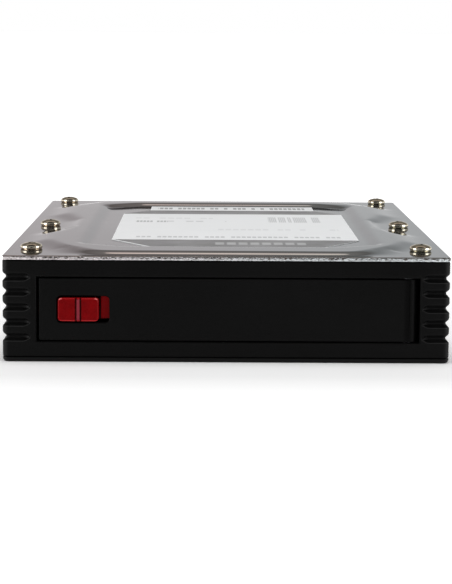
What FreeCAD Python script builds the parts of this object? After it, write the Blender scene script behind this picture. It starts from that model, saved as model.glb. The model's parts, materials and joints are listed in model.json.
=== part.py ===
import FreeCAD, Part
import math
import os
from types import SimpleNamespace

import Sketcher

# Drive bay adapter: a housing of the size of a 3.5 inch drive that takes a 2.5 inch drive through
# a hinged front door. X runs to the right, Y from the front to the rear, Z up. The origin is the
# middle of the floor plate's lower face. All sizes are in millimetres.

driving = {
    # moulded frame
    "frame_width": 101.6,
    "frame_length": 146.4,
    "frame_height": 21.95,
    "frame_wall": 2.2,
    "front_wall": 5.2,
    "corner_radius": 1.5,
    # drive bay inside the frame
    "door_space": 8.0,
    "bay_width": 70.6,
    "bay_height": 13.75,
    "bay_wall": 1.7,
    "rail_width": 4.0,
    "rail_height": 3.45,
    "guide_thickness": 1.4,
    "connector_room": 30.2,
    # door opening in the front wall
    "jamb_left": 7.77,
    "jamb_right": 6.83,
    "opening_height": 14.77,
    "opening_sill": 3.4,
    "opening_edge_radius": 0.3,
    # finger grooves round the front corners
    "groove_first": 4.4,
    "groove_pitch": 3.43,
    "groove_floor": 0.5,
    "groove_depth": 0.8,
    "groove_mouth": 1.95,
    "groove_front_run": 4.75,
    "groove_ramp_radius": 1.2,
    "groove_ramp_rise": 1.1,
    "groove_side_run": 13.0,
    # floor plate
    "plate_thickness": 1.1,
    "plate_edge_radius": 0.8,
    "shadow_gap": 0.2,
    "shadow_inset": 0.6,
    # pressed cover
    "cover_thickness": 1.05,
    "cover_corner_radius": 0.8,
    "emboss_height": 0.95,
    "emboss_wall_angle": 62.0,
    "emboss_side": 5.1,
    "emboss_front": 1.0,
    "emboss_rear": 8.4,
    "emboss_front_across": 10.2,
    "emboss_front_corner": 26.0,
    "emboss_rear_across": 9.7,
    "emboss_rear_corner": 18.0,
    "scallop_depth": 5.7,
    "scallop_floor": 18.5,
    "scallop_mouth": 51.0,
    "panel_left_margin": 18.3,
    "panel_right_margin": 16.3,
    "panel_front_margin": 14.5,
    "panel_rear_margin": 18.9,
    "panel_corner_across": 8.4,
    "panel_corner_along": 5.75,
    "emboss_corner_round": 8.0,
    "emboss_top_round": 3.2,
    "emboss_foot_round": 2.6,
    "sheet_shift": 0.3,
    # label on the sunk panel
    "label_thickness": 0.15,
    "label_left_gap": 4.85,
    "label_right_gap": 2.05,
    "label_front_gap": 0.9,
    "label_rear_gap": 1.3,
    "label_front_across": 11.65,
    "label_front_taper": 19.5,
    "label_rear_across": 7.05,
    "label_rear_taper": 10.8,
    "label_strip": 12.4,
    # cover screws and floor screws, on one set of bosses
    "screw_inset": 5.5,
    "screw_front": 14.2,
    "screw_middle": 70.5,
    "screw_rear": 5.0,
    "screw_radius": 1.25,
    "screw_fit": 0.02,
    "screw_clearance": 0.25,
    "screw_boss_half": 3.0,
    "cover_screw_length": 7.5,
    "cover_head_radius": 2.55,
    "cover_head_rim": 0.95,
    "cover_head_height": 1.6,
    "cover_head_crown": 1.5,
    "base_screw_length": 5.5,
    "base_head_radius": 2.25,
    "base_head_sunk": 0.12,
    # six-sided threaded inserts at the standard mounting holes
    "insert_radius": 2.2,
    "insert_bore": 1.4,
    "insert_length": 4.0,
    "insert_cap": 1.5,
    "insert_boss_half": 3.2,
    "side_hole_height": 6.35,
    "side_hole_rear": 28.5,
    "side_hole_front": 16.3,
    "base_hole_inset": 3.175,
    "base_hole_spacing": 44.45,
    "base_hole_rear": 41.28,
    "base_hole_clearance": 0.4,
    # door and its pin
    "door_recess": 0.3,
    "door_thickness": 2.4,
    "door_gap_left": 0.53,
    "door_gap_right": 0.27,
    "door_gap_top": 0.32,
    "door_gap_bottom": 0.25,
    "door_edge_radius": 0.25,
    "barrel_radius": 2.3,
    "pin_radius": 1.0,
    "pin_clearance": 0.06,
    "pin_sill_depth": 2.3,
    "pin_cover_gap": 0.15,
    # latch in the door
    "button_inset": 4.36,
    "button_width": 9.22,
    "button_height": 5.32,
    "button_proud": 0.45,
    "button_corner": 0.8,
    "button_edge_bevel": 0.3,
    "rib_width": 0.8,
    "rib_proud": 0.15,
    "rib_groove": 0.3,
    "rib_groove_depth": 0.35,
    "slot_gap_side": 0.34,
    "slot_gap_end": 0.2,
    "slot_radius": 0.9,
    "slot_edge_bevel": 0.2,
    "latch_travel": 2.2,
    "door_skin": 1.2,
    "latch_play": 0.1,
    "flange_thickness": 1.0,
    "flange_height": 4.9,
    "flange_tail": 4.9,
    "stop_gap": 0.45,
    "stop_step": 0.5,
    "stop_below": 2.2,
    "stop_above": 2.9,
    "slide_height": 4.2,
    "tongue_reach": 0.4,
    "tongue_height": 3.6,
    "tongue_thickness": 1.6,
    "tongue_slope": 0.7,
    "pocket_wall": 0.8,
    "pocket_gap": 0.2,
    "latch_case_depth": 5.0,
    "latch_case_height": 10.4,
    "latch_case_end": 1.8,
    "keeper_depth": 2.0,
    "keeper_gap": 0.5,
    # spring, retainer and pad on the door's inner side
    "spring_room": 7.0,
    "spring_strip": 0.25,
    "spring_width": 2.4,
    "spring_height": 2.4,
    "spring_gap": 0.3,
    "retainer_thickness": 1.0,
    "retainer_inset": 0.2,
    "retainer_screw_radius": 0.6,
    "retainer_screw_length": 3.2,
    "retainer_head_radius": 1.3,
    "retainer_head_height": 0.7,
    "retainer_screw_offset": 3.3,
    "pad_width": 36.0,
    "pad_height": 7.5,
    "pad_thickness": 4.3,
    "pad_offset": 10.0,
    "pad_corner": 1.2,
    # board at the rear
    "board_side_gap": 5.1,
    "board_length": 22.5,
    "board_thickness": 1.6,
    "board_rear_room": 6.7,
    "seat_height": 2.6,
    "seat_width": 10.4,
    "seat_length": 12.0,
    "board_screw_inset": 2.5,
    "board_screw_rear": 11.5,
    "board_screw_radius": 0.9,
    "board_screw_length": 3.4,
    "board_head_radius": 1.7,
    "board_head_height": 1.2,
    # drive socket and host plug
    "contact_pitch": 1.27,
    "contact_width": 0.6,
    "contact_thickness": 0.2,
    "segment_margin": 1.6,
    "segment_gap": 2.4,
    "socket_side_gap": 4.9,
    "socket_width": 42.0,
    "socket_height": 5.8,
    "socket_length": 10.6,
    "socket_overhang": 6.6,
    "socket_slot_height": 1.6,
    "socket_slot_depth": 5.5,
    "plug_side_gap": 6.6,
    "plug_width": 42.6,
    "plug_height": 6.5,
    "plug_length": 16.4,
    "plug_wall": 1.1,
    "plug_cavity_depth": 6.5,
    "plug_tongue": 1.2,
    "plug_gap": 0.2,
    # chip capacitors on the board
    "capacitor_length": 3.2,
    "capacitor_width": 1.6,
    "capacitor_height": 1.3,
    "capacitor_pitch": 4.5,
    "capacitor_edge": 3.0,
}

groove_count = 5
spring_legs = 6
power_contacts = 15
data_contacts = 7
capacitor_count = 4
near = 1e-3

document = FreeCAD.newDocument("drive_bay_adapter")
sheet = document.addObject("Spreadsheet::Sheet", "Sizes")
for row, (alias, value) in enumerate(driving.items(), start=1):
    sheet.set(f"A{row}", alias)
    sheet.set(f"B{row}", str(value))
    sheet.setAlias(f"B{row}", alias)
document.recompute()


class Size:
    """A driving size, or a sum of them: the number, and the expression that gives it."""

    def __init__(self, value, text):
        self.value = value
        self.text = text

    def __add__(self, other):
        other = as_size(other)
        return Size(self.value + other.value, f"({self.text} + {other.text})")

    def __sub__(self, other):
        other = as_size(other)
        return Size(self.value - other.value, f"({self.text} - {other.text})")

    def __mul__(self, factor):
        return Size(self.value * factor, f"({self.text} * {factor})")

    def __truediv__(self, divisor):
        return Size(self.value / divisor, f"({self.text} / {divisor})")

    def __neg__(self):
        return self * -1


def as_size(number):
    return number if isinstance(number, Size) else Size(number, str(number))


size = SimpleNamespace(**{alias: Size(value, f"Sizes.{alias}") for alias, value in driving.items()})
zero = as_size(0.0)


# Sketches and features


def new_body(label):
    body = document.addObject("PartDesign::Body", label)
    body.Label = label
    return body


def new_sketch(body, name, plane, place):
    """A sketch on the XY, XZ or YZ plane of a body, moved to place along Z, Y or X."""
    sketch = body.newObject("Sketcher::SketchObject", name)
    role = f"{plane}_Plane"
    support = next(feature for feature in body.Origin.OriginFeatures if feature.Role == role)
    sketch.AttachmentSupport = [(support, "")]
    sketch.MapMode = "FlatFace"
    along_normal = -place if plane == "XZ" else place
    sketch.setExpression("AttachmentOffset.Base.z", along_normal.text)
    return sketch


def constrain(sketch, rules):
    """Add the rules in one go, and bind each to the size that comes with it, if any."""
    numbers = sketch.addConstraint([rule for rule, distance in rules])
    for number, (rule, distance) in zip(numbers, rules):
        if distance is not None:
            sketch.setExpression(f"Constraints[{number}]", distance.text)


def pinned(geometry, point, x, y):
    """The rules that hold a point of a sketch at a place."""
    across = Sketcher.Constraint("DistanceX", -1, 1, geometry, point, x.value)
    along = Sketcher.Constraint("DistanceY", -1, 1, geometry, point, y.value)
    return [(across, x), (along, y)]


def polygon(sketch, points):
    first = sketch.GeometryCount
    corners = [FreeCAD.Vector(x.value, y.value, 0) for x, y in points]
    ends = corners[1:] + corners[:1]
    sketch.addGeometry([Part.LineSegment(start, end) for start, end in zip(corners, ends)], False)
    rules = []
    for number, (x, y) in enumerate(points):
        following = first + (number + 1) % len(points)
        joined = Sketcher.Constraint("Coincident", first + number, 2, following, 1)
        rules.append((joined, None))
        rules.extend(pinned(first + number, 1, x, y))
    constrain(sketch, rules)


def rectangle(sketch, x_low, y_low, x_high, y_high):
    polygon(sketch, [(x_low, y_low), (x_high, y_low), (x_high, y_high), (x_low, y_high)])


def hexagon(sketch, x, y, radius, first_turn):
    """A hexagon of the given corner radius, with its first corner turned by so many degrees."""
    turns = [math.radians(first_turn + 60 * number) for number in range(6)]
    polygon(sketch, [(x + radius * math.cos(turn), y + radius * math.sin(turn)) for turn in turns])


def circle(sketch, x, y, radius):
    centre = FreeCAD.Vector(x.value, y.value, 0)
    up = FreeCAD.Vector(0, 0, 1)
    geometry = sketch.addGeometry(Part.Circle(centre, up, radius.value), False)
    measure = Sketcher.Constraint("Radius", geometry, radius.value)
    constrain(sketch, pinned(geometry, 3, x, y) + [(measure, radius)])


def add_feature(body, kind, name):
    feature = body.newObject(f"PartDesign::{kind}", name)
    body.Tip = feature
    return feature


def extrude(body, kind, sketch, length, reverse):
    feature = add_feature(body, kind, f"{sketch.Name}_{kind.lower()}")
    feature.Profile = sketch
    feature.setExpression("Length", length.text)
    feature.Reversed = reverse
    document.recompute()
    return feature


def pad(body, sketch, length, reverse=False):
    return extrude(body, "Pad", sketch, length, reverse)


def pocket(body, sketch, length, reverse=False):
    before = body.Shape.Volume
    feature = extrude(body, "Pocket", sketch, length, reverse)
    if not feature.Shape.Volume < before:
        raise RuntimeError(f"{sketch.Name} cuts nothing")
    return feature


def slope_walls(body, base, low, high, angle):
    """Lean the walls between two heights back by an angle, from their foot at the lower one."""
    support = next(feature for feature in body.Origin.OriginFeatures if feature.Role == "XY_Plane")
    foot = body.newObject("PartDesign::Plane", f"{base.Name}_foot")
    foot.AttachmentSupport = [(support, "")]
    foot.MapMode = "FlatFace"
    foot.setExpression("AttachmentOffset.Base.z", low.text)
    names = []
    for number, face in enumerate(base.Shape.Faces, start=1):
        box = face.BoundBox
        if abs(box.ZMin - low.value) < near and abs(box.ZMax - high.value) < near:
            names.append(f"Face{number}")
    feature = add_feature(body, "Draft", f"{base.Name}_draft")
    feature.Base = (base, names)
    feature.NeutralPlane = (foot, "")
    feature.setExpression("Angle", angle.text)
    document.recompute()
    return feature


def round_edges(body, base, test, radius, kind="Fillet"):
    """Round or bevel the edges of a feature that pass a test."""
    numbered = enumerate(base.Shape.Edges, start=1)
    names = [f"Edge{number}" for number, edge in numbered if test(edge.BoundBox)]
    feature = add_feature(body, kind, f"{base.Name}_{kind.lower()}")
    feature.Base = (base, names)
    feature.setExpression("Radius" if kind == "Fillet" else "Size", radius.text)
    document.recompute()
    return feature


def upright(box):
    return box.XLength < near and box.YLength < near and box.ZLength > near


def level_with(height):
    return lambda box: abs(box.ZMin - height.value) < near and abs(box.ZMax - height.value) < near


def facing_front_at(y):
    return lambda box: abs(box.YMin - y.value) < near and abs(box.YMax - y.value) < near


def group(label, body, places):
    """Copies of one small body at several places, as one node of separate solids."""
    copies = []
    for number, (position, turn) in enumerate(places, start=1):
        copy = document.addObject("Part::Feature", f"{label}_{number}")
        copy.Shape = body.Shape
        copy.Placement = FreeCAD.Placement(FreeCAD.Vector(), turn)
        for axis, coordinate in zip("xyz", position):
            copy.setExpression(f"Placement.Base.{axis}", coordinate.text)
        copies.append(copy)
    compound = document.addObject("Part::Compound", label)
    compound.Label = label
    compound.Links = copies
    document.recompute()
    return compound


# Shared places

sides = (-1, 1)
no_turn = FreeCAD.Rotation()
x_axis = FreeCAD.Vector(1, 0, 0)
y_axis = FreeCAD.Vector(0, 1, 0)
half_width = size.frame_width / 2
front = -size.frame_length / 2
rear = size.frame_length / 2
frame_base = size.plate_thickness + size.shadow_gap
frame_top = frame_base + size.frame_height
cover_face = frame_top + size.cover_thickness
inner_half = half_width - size.frame_wall
rear_inner = rear - size.frame_wall
bay_half = size.bay_width / 2
bay_start = front + size.door_space
bay_end = rear_inner - size.connector_room
rail_top = frame_base + size.rail_height

opening_left = size.jamb_left - half_width
opening_right = half_width - size.jamb_right
opening_floor = frame_base + size.opening_sill
opening_roof = opening_floor + size.opening_height

screw_rows = (front + size.screw_front, front + size.screw_middle, rear - size.screw_rear)
screw_across = half_width - size.screw_inset
screw_spots = [(screw_across * side, y) for side in sides for y in screw_rows]
floor_screw_spots = [(screw_across * side, y) for side in sides for y in (screw_rows[0], screw_rows[-1])]
pilot_radius = size.screw_radius + size.screw_fit

panel_left = size.panel_left_margin - half_width
panel_right = half_width - size.panel_right_margin
panel_front = front + size.panel_front_margin
panel_rear = rear - size.panel_rear_margin

side_hole_rows = (rear - size.side_hole_rear, front + size.side_hole_front)
base_hole_rows = (rear - size.base_hole_rear, rear - size.base_hole_rear - size.base_hole_spacing)
base_hole_across = half_width - size.base_hole_inset
base_hole_spots = [(base_hole_across * side, y) for side in sides for y in base_hole_rows]

door_left = opening_left + size.door_gap_left
door_right = opening_right - size.door_gap_right
door_floor = opening_floor + size.door_gap_bottom
door_roof = opening_roof - size.door_gap_top
door_middle = (door_floor + door_roof) / 2
door_front = front + size.door_recess
door_back = door_front + size.door_thickness
hinge_x = door_right - size.barrel_radius
hinge_y = door_front + size.barrel_radius
pin_base = opening_floor - size.pin_sill_depth

skin_back = door_front + size.door_skin
case_back = door_front + size.latch_case_depth
button_left = door_left + size.button_inset
button_right = button_left + size.button_width
flange_left = door_left + size.pocket_wall + size.latch_play
flange_right = button_right + size.flange_tail
flange_front = skin_back + size.latch_play
flange_back = flange_front + size.flange_thickness
slide_back = case_back - size.latch_play
tongue_front = slide_back - size.tongue_thickness
spring_end = flange_right + size.spring_room
pocket_right = flange_right + size.latch_travel + size.pocket_gap
case_right = spring_end + size.latch_case_end
spring_room_height = size.spring_height + size.spring_gap * 2
retainer_back = case_back + size.retainer_thickness
retainer_screw_x = (pocket_right + case_right) / 2
retainer_screw_spots = [(retainer_screw_x, door_middle + size.retainer_screw_offset * side) for side in sides]

board_floor = frame_base + size.seat_height
board_top = board_floor + size.board_thickness
board_rear = rear_inner - size.board_rear_room
board_front = board_rear - size.board_length
board_half = inner_half - size.board_side_gap
board_screw_across = board_half - size.board_screw_inset
board_screw_y = board_rear - size.board_screw_rear
board_screw_spots = [(board_screw_across * side, board_screw_y) for side in sides]

socket_front = board_front - size.socket_overhang
socket_middle = bay_half - size.socket_side_gap - size.socket_width / 2
plug_right = inner_half - size.plug_side_gap
plug_left = plug_right - size.plug_width
plug_middle = plug_right - size.plug_width / 2
plug_top = board_top + size.plug_height
power_width = size.contact_pitch * power_contacts + size.segment_margin
data_width = size.contact_pitch * data_contacts + size.segment_margin
segments_width = power_width + size.segment_gap + data_width


def connector_segments(centre):
    """The left edge, width and contact count of the data and the power segment."""
    data_left = centre - segments_width / 2
    power_left = data_left + data_width + size.segment_gap
    return ((data_left, data_width, data_contacts), (power_left, power_width, power_contacts))


# Moulded frame


def frame_shell(body):
    outline = new_sketch(body, "frame_outline", "XY", frame_base)
    rectangle(outline, -half_width, front, half_width, rear)
    block = pad(body, outline, size.frame_height)
    round_edges(body, block, upright, size.corner_radius)

    hollow = new_sketch(body, "frame_hollow", "XY", frame_top)
    door_room_front = front + size.front_wall
    polygon(hollow, [
        (opening_left, door_room_front),
        (opening_right, door_room_front),
        (opening_right, bay_start),
        (bay_half, bay_start),
        (bay_half, bay_end),
        (inner_half, bay_end),
        (inner_half, rear_inner),
        (-inner_half, rear_inner),
        (-inner_half, bay_end),
        (-bay_half, bay_end),
        (-bay_half, bay_start),
        (opening_left, bay_start),
    ])
    channel_front = bay_start + size.bay_wall
    channel_rear = bay_end - size.bay_wall
    bay_outer = bay_half + size.bay_wall
    for side in sides:
        rectangle(hollow, bay_outer * side, channel_front, inner_half * side, channel_rear)
    pocket(body, hollow, size.frame_height)

    opening = new_sketch(body, "door_opening", "XZ", front)
    rectangle(opening, opening_left, opening_floor, opening_right, opening_roof)
    opened = pocket(body, opening, size.front_wall)

    def opening_rim(box):
        within = box.XMin > opening_left.value - near and box.XMax < opening_right.value + near
        inner = box.ZMin > opening_floor.value - near and box.ZMax < opening_roof.value + near
        return facing_front_at(front)(box) and within and inner

    round_edges(body, opened, opening_rim, size.opening_edge_radius)


def groove_path(body, side, height):
    """Along the side to the front, round the corner, and out of the front face on a ramp."""
    run_start = front + size.groove_side_run
    corner = front + size.corner_radius
    face = half_width * side
    turn = (half_width - size.corner_radius) * side
    run_end = (half_width - size.groove_front_run) * side
    ramp_centre = front - size.groove_ramp_radius
    quarter = math.pi / 2
    ramp_turn = math.acos(1 - size.groove_ramp_rise.value / size.groove_ramp_radius.value)

    def line(x_start, y_start, x_end, y_end):
        start = FreeCAD.Vector(x_start.value, y_start.value, 0)
        return Part.LineSegment(start, FreeCAD.Vector(x_end.value, y_end.value, 0))

    def arc(x, y, radius, angles):
        centre = FreeCAD.Vector(x.value, y.value, 0)
        whole = Part.Circle(centre, FreeCAD.Vector(0, 0, 1), radius.value)
        return Part.ArcOfCircle(whole, *sorted(angle if side > 0 else math.pi - angle for angle in angles))

    path = new_sketch(body, "groove_path", "XY", height)
    path.addGeometry([
        line(face, run_start, face, corner),
        arc(turn, corner, size.corner_radius, (-quarter, 0)),
        line(turn, front, run_end, front),
        arc(run_end, ramp_centre, size.groove_ramp_radius, (quarter, quarter + ramp_turn)),
    ], False)
    side_line, bend, front_line, ramp = range(4)
    first, last = (1, 2) if side > 0 else (2, 1)
    tip = front - size.groove_ramp_rise
    constrain(path, [
        *pinned(side_line, 1, face, run_start),
        *pinned(side_line, 2, face, corner),
        *pinned(front_line, 1, turn, front),
        *pinned(front_line, 2, run_end, front),
        (Sketcher.Constraint("Coincident", bend, last, side_line, 2), None),
        (Sketcher.Constraint("Coincident", bend, first, front_line, 1), None),
        (Sketcher.Constraint("Radius", bend, size.corner_radius.value), size.corner_radius),
        (Sketcher.Constraint("Coincident", ramp, first, front_line, 2), None),
        *pinned(ramp, 3, run_end, ramp_centre),
        (Sketcher.Constraint("DistanceY", -1, 1, ramp, last, tip.value), tip),
    ])
    return path


def frame_grooves(body):
    """A groove with sloping sides, repeated up each front corner."""
    height = frame_base + size.groove_first
    half_floor = size.groove_floor / 2
    half_mouth = size.groove_mouth / 2
    slope = half_mouth - half_floor
    for side in sides:
        floor = (half_width - size.groove_depth) * side
        outside = (half_width + size.groove_depth) * side
        profile = new_sketch(body, "groove_profile", "XZ", front + size.groove_side_run)
        polygon(profile, [
            (floor, height - half_floor),
            (outside, height - half_mouth - slope),
            (outside, height + half_mouth + slope),
            (floor, height + half_floor),
        ])
        path = groove_path(body, side, height)
        document.recompute()
        before = body.Shape.Volume
        groove = add_feature(body, "SubtractivePipe", "groove")
        groove.Profile = profile
        groove.Spine = (path, [f"Edge{number}" for number in range(1, path.GeometryCount + 1)])
        document.recompute()
        grooves = add_feature(body, "LinearPattern", "grooves")
        grooves.Originals = [groove]
        grooves.Direction = (profile, ["V_Axis"])
        grooves.setExpression("Length", (size.groove_pitch * (groove_count - 1)).text)
        grooves.Occurrences = groove_count
        body.Tip = grooves
        document.recompute()
        if not body.Shape.Volume < before:
            raise RuntimeError("the grooves cut nothing")


def frame_bay_rails(body):
    rail_inner = bay_half - size.rail_width
    rail_outer = bay_half + size.bay_wall / 2
    levels = (
        ("bay_rails", frame_base, size.rail_height),
        ("bay_guides", rail_top + size.bay_height, size.guide_thickness),
    )
    for name, height, thickness in levels:
        rails = new_sketch(body, name, "XY", height)
        for side in sides:
            rectangle(rails, rail_inner * side, bay_start, rail_outer * side, bay_end)
        pad(body, rails, thickness)


def frame_bosses(body):
    """Blocks along the walls that carry the screws and the inserts, and the board's seats."""
    wall_middle = half_width - size.frame_wall / 2
    insert_depth = size.insert_length + size.insert_cap
    side_boss_height = size.side_hole_height + size.insert_boss_half - frame_base
    side_insert_spots = [((half_width - insert_depth) * side, y) for side in sides for y in side_hole_rows]
    screw_block = screw_across - size.screw_boss_half
    screw_block_spots = [(screw_block * side, y) for side in sides for y in screw_rows]
    base_block = base_hole_across - size.insert_boss_half
    base_block_spots = [(base_block * side, y) for side in sides for y in base_hole_rows]
    blocks = (
        ("screw_bosses", screw_block_spots, size.screw_boss_half, size.frame_height),
        ("base_insert_bosses", base_block_spots, size.insert_boss_half, insert_depth),
        ("side_insert_bosses", side_insert_spots, size.insert_boss_half, side_boss_height),
        ("board_seats", [((inner_half - size.seat_width) * side, board_screw_y) for side in sides],
         size.seat_length / 2, size.seat_height),
    )
    for name, spots, half, height in blocks:
        bosses = new_sketch(body, name, "XY", frame_base)
        for x, y in spots:
            wall = wall_middle if x.value > 0 else -wall_middle
            rectangle(bosses, x, y - half, wall, y + half)
        pad(body, bosses, height)


def frame_holes(body):
    pilots = new_sketch(body, "screw_pilots", "XY", frame_top)
    for x, y in screw_spots:
        circle(pilots, x, y, pilot_radius)
    pocket(body, pilots, size.frame_height)

    base_holes = new_sketch(body, "base_insert_holes", "XY", frame_base)
    for x, y in base_hole_spots:
        hexagon(base_holes, x, y, size.insert_radius, 0)
    pocket(body, base_holes, size.insert_length, reverse=True)
    for side in sides:
        side_holes = new_sketch(body, "side_insert_holes", "YZ", half_width * side)
        for y in side_hole_rows:
            hexagon(side_holes, y, size.side_hole_height, size.insert_radius, 90)
        pocket(body, side_holes, size.insert_length, reverse=side < 0)

    pin_hole = new_sketch(body, "pin_hole", "XY", frame_top)
    circle(pin_hole, hinge_x, hinge_y, size.pin_radius)
    pocket(body, pin_hole, frame_top - pin_base)

    board_holes = new_sketch(body, "board_screw_holes", "XY", board_floor)
    for x, y in board_screw_spots:
        circle(board_holes, x, y, size.board_screw_radius + size.screw_fit)
    pocket(body, board_holes, size.seat_height)

    plug_hole = new_sketch(body, "plug_hole", "XZ", rear)
    rectangle(
        plug_hole,
        plug_left - size.plug_gap,
        board_top - size.plug_gap,
        plug_right + size.plug_gap,
        plug_top + size.plug_gap,
    )
    pocket(body, plug_hole, size.frame_wall, reverse=True)

    keeper = new_sketch(body, "latch_keeper", "YZ", opening_left)
    keeper_half = size.tongue_height / 2 + size.keeper_gap
    rectangle(
        keeper,
        tongue_front - size.keeper_gap,
        door_middle - keeper_half,
        slide_back,
        door_middle + keeper_half,
    )
    pocket(body, keeper, size.keeper_depth)


def make_main_frame():
    body = new_body("main_frame")
    frame_shell(body)
    frame_grooves(body)
    frame_bay_rails(body)
    frame_bosses(body)
    frame_holes(body)
    return body


# Floor plate


def make_bottom_plate():
    body = new_body("bottom_plate")
    outline = new_sketch(body, "plate_outline", "XY", zero)
    rectangle(outline, -half_width, front, half_width, rear)
    sheet_pad = pad(body, outline, size.plate_thickness)
    corners = round_edges(body, sheet_pad, upright, size.corner_radius)
    round_edges(body, corners, level_with(zero), size.plate_edge_radius)

    step = new_sketch(body, "plate_step", "XY", size.plate_thickness)
    inset = size.shadow_inset
    rectangle(step, inset - half_width, front + inset, half_width - inset, rear - inset)
    pad(body, step, size.shadow_gap)

    screw_holes = new_sketch(body, "plate_screw_holes", "XY", frame_base)
    hole_radius = pilot_radius + size.screw_clearance / 2
    for x, y in floor_screw_spots:
        circle(screw_holes, x, y, hole_radius)
    drilled = pocket(body, screw_holes, frame_base)
    wide = (hole_radius + size.screw_radius).value * 2

    def screw_mouth(box):
        return level_with(zero)(box) and box.XLength < wide

    round_edges(body, drilled, screw_mouth, size.base_head_radius - size.screw_radius, "Chamfer")

    insert_holes = new_sketch(body, "plate_insert_holes", "XY", frame_base)
    for x, y in base_hole_spots:
        circle(insert_holes, x, y, size.insert_bore + size.base_hole_clearance)
    pocket(body, insert_holes, frame_base)
    return body


# Pressed cover and its label


def emboss_outline(inset):
    """The foot of the raised ring: cut corners, and a scallop round each middle screw."""
    edge = half_width - size.emboss_side - inset
    waist = edge - size.scallop_depth
    middle = front + size.screw_middle
    ring_front = front + size.emboss_front + inset
    ring_rear = rear - size.emboss_rear - inset
    right = [
        (edge - size.emboss_front_across, ring_front),
        (edge, ring_front + size.emboss_front_corner),
        (edge, middle - size.scallop_mouth / 2),
        (waist, middle - size.scallop_floor / 2),
        (waist, middle + size.scallop_floor / 2),
        (edge, middle + size.scallop_mouth / 2),
        (edge, ring_rear - size.emboss_rear_corner),
        (edge - size.emboss_rear_across, ring_rear),
    ]
    left = [(-x, y) for x, y in reversed(right)]
    return right + left


def panel_outline(outset):
    """The floor of the sunk label panel, a rectangle with its corners cut."""
    low_x = panel_left - outset
    high_x = panel_right + outset
    low_y = panel_front - outset
    high_y = panel_rear + outset
    across = size.panel_corner_across
    along = size.panel_corner_along
    return [
        (low_x + across, low_y),
        (high_x - across, low_y),
        (high_x, low_y + along),
        (high_x, high_y - along),
        (high_x - across, high_y),
        (low_x + across, high_y),
        (low_x, high_y - along),
        (low_x, low_y + along),
    ]


def press_ring(body):
    """The ring stands proud of the sheet on sloping walls, with every bend rounded."""
    ring_top = cover_face + size.emboss_height
    ring = new_sketch(body, "cover_ring", "XY", cover_face)
    polygon(ring, emboss_outline(zero))
    polygon(ring, panel_outline(zero))
    raised = pad(body, ring, size.emboss_height)
    sloped = slope_walls(body, raised, cover_face, ring_top, size.emboss_wall_angle)

    def wall_corner(box):
        return box.ZLength > near and box.ZMin > cover_face.value - near

    def ring_foot(box):
        inside_x = box.XMin > near - half_width.value and box.XMax < half_width.value - near
        inside_y = box.YMin > front.value + near and box.YMax < rear.value - near
        return level_with(cover_face)(box) and inside_x and inside_y

    cornered = round_edges(body, sloped, wall_corner, size.emboss_corner_round)
    topped = round_edges(body, cornered, level_with(ring_top), size.emboss_top_round)
    round_edges(body, topped, ring_foot, size.emboss_foot_round)


def press_ring_hollow(body):
    """Below, the sheet follows the ring at its own thickness."""
    hollow = new_sketch(body, "cover_ring_hollow", "XY", frame_top)
    polygon(hollow, emboss_outline(size.sheet_shift))
    polygon(hollow, panel_outline(size.sheet_shift))
    sunk = pocket(body, hollow, size.emboss_height, reverse=True)
    hollow_top = frame_top + size.emboss_height
    slope_walls(body, sunk, frame_top, hollow_top, -size.emboss_wall_angle)


def make_top_cover():
    body = new_body("top_cover")
    outline = new_sketch(body, "cover_outline", "XY", frame_top)
    rectangle(outline, -half_width, front, half_width, rear)
    blank = pad(body, outline, size.cover_thickness)
    round_edges(body, blank, upright, size.cover_corner_radius)
    press_ring(body)
    press_ring_hollow(body)

    holes = new_sketch(body, "cover_screw_holes", "XY", cover_face)
    for x, y in screw_spots:
        circle(holes, x, y, size.screw_radius + size.screw_clearance)
    pocket(body, holes, size.cover_thickness)
    return body


def make_cover_label():
    """One die-cut film: a tapered front, a broad field and a narrower strip at the rear."""
    body = new_body("cover_label")
    left = panel_left + size.label_left_gap
    right = panel_right - size.label_right_gap
    label_front = panel_front + size.label_front_gap
    label_rear = panel_rear - size.label_rear_gap
    field_front = label_front + size.label_front_taper
    strip_front = label_rear - size.label_strip
    field_rear = strip_front - size.label_rear_taper
    front_across = size.label_front_across
    rear_across = size.label_rear_across
    outline = new_sketch(body, "label_outline", "XY", cover_face)
    polygon(outline, [
        (left + front_across, label_front),
        (right - front_across, label_front),
        (right, field_front),
        (right, field_rear),
        (right - rear_across, strip_front),
        (right - rear_across, label_rear),
        (left + rear_across, label_rear),
        (left + rear_across, strip_front),
        (left, field_rear),
        (left, field_front),
    ])
    pad(body, outline, size.label_thickness)
    return body


# Fasteners


def turned_screw(label, profile):
    body = new_body(label)
    outline = new_sketch(body, f"{label}_profile", "XZ", zero)
    polygon(outline, profile)
    turned = add_feature(body, "Revolution", f"{label}_turned")
    turned.Profile = outline
    turned.ReferenceAxis = (outline, ["V_Axis"])
    turned.Angle = 360
    document.recompute()
    return body


def headed_screw(label, radius, length, head):
    """A screw with its head's seat at Z = 0 and its tip downwards."""
    return turned_screw(label, [(zero, -length), (radius, -length), (radius, zero), *head])


def flat_head(radius, height):
    return [(radius, zero), (radius, height), (zero, height)]


def make_cover_screws():
    """Pan heads: an upright rim and a low crown."""
    screw = headed_screw("cover_screw", size.screw_radius, size.cover_screw_length, [
        (size.cover_head_radius, zero),
        (size.cover_head_radius, size.cover_head_rim),
        (size.cover_head_crown, size.cover_head_height),
        (zero, size.cover_head_height),
    ])
    places = [((x, y, cover_face), no_turn) for x, y in screw_spots]
    return group("cover_screws", screw, places)


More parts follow.
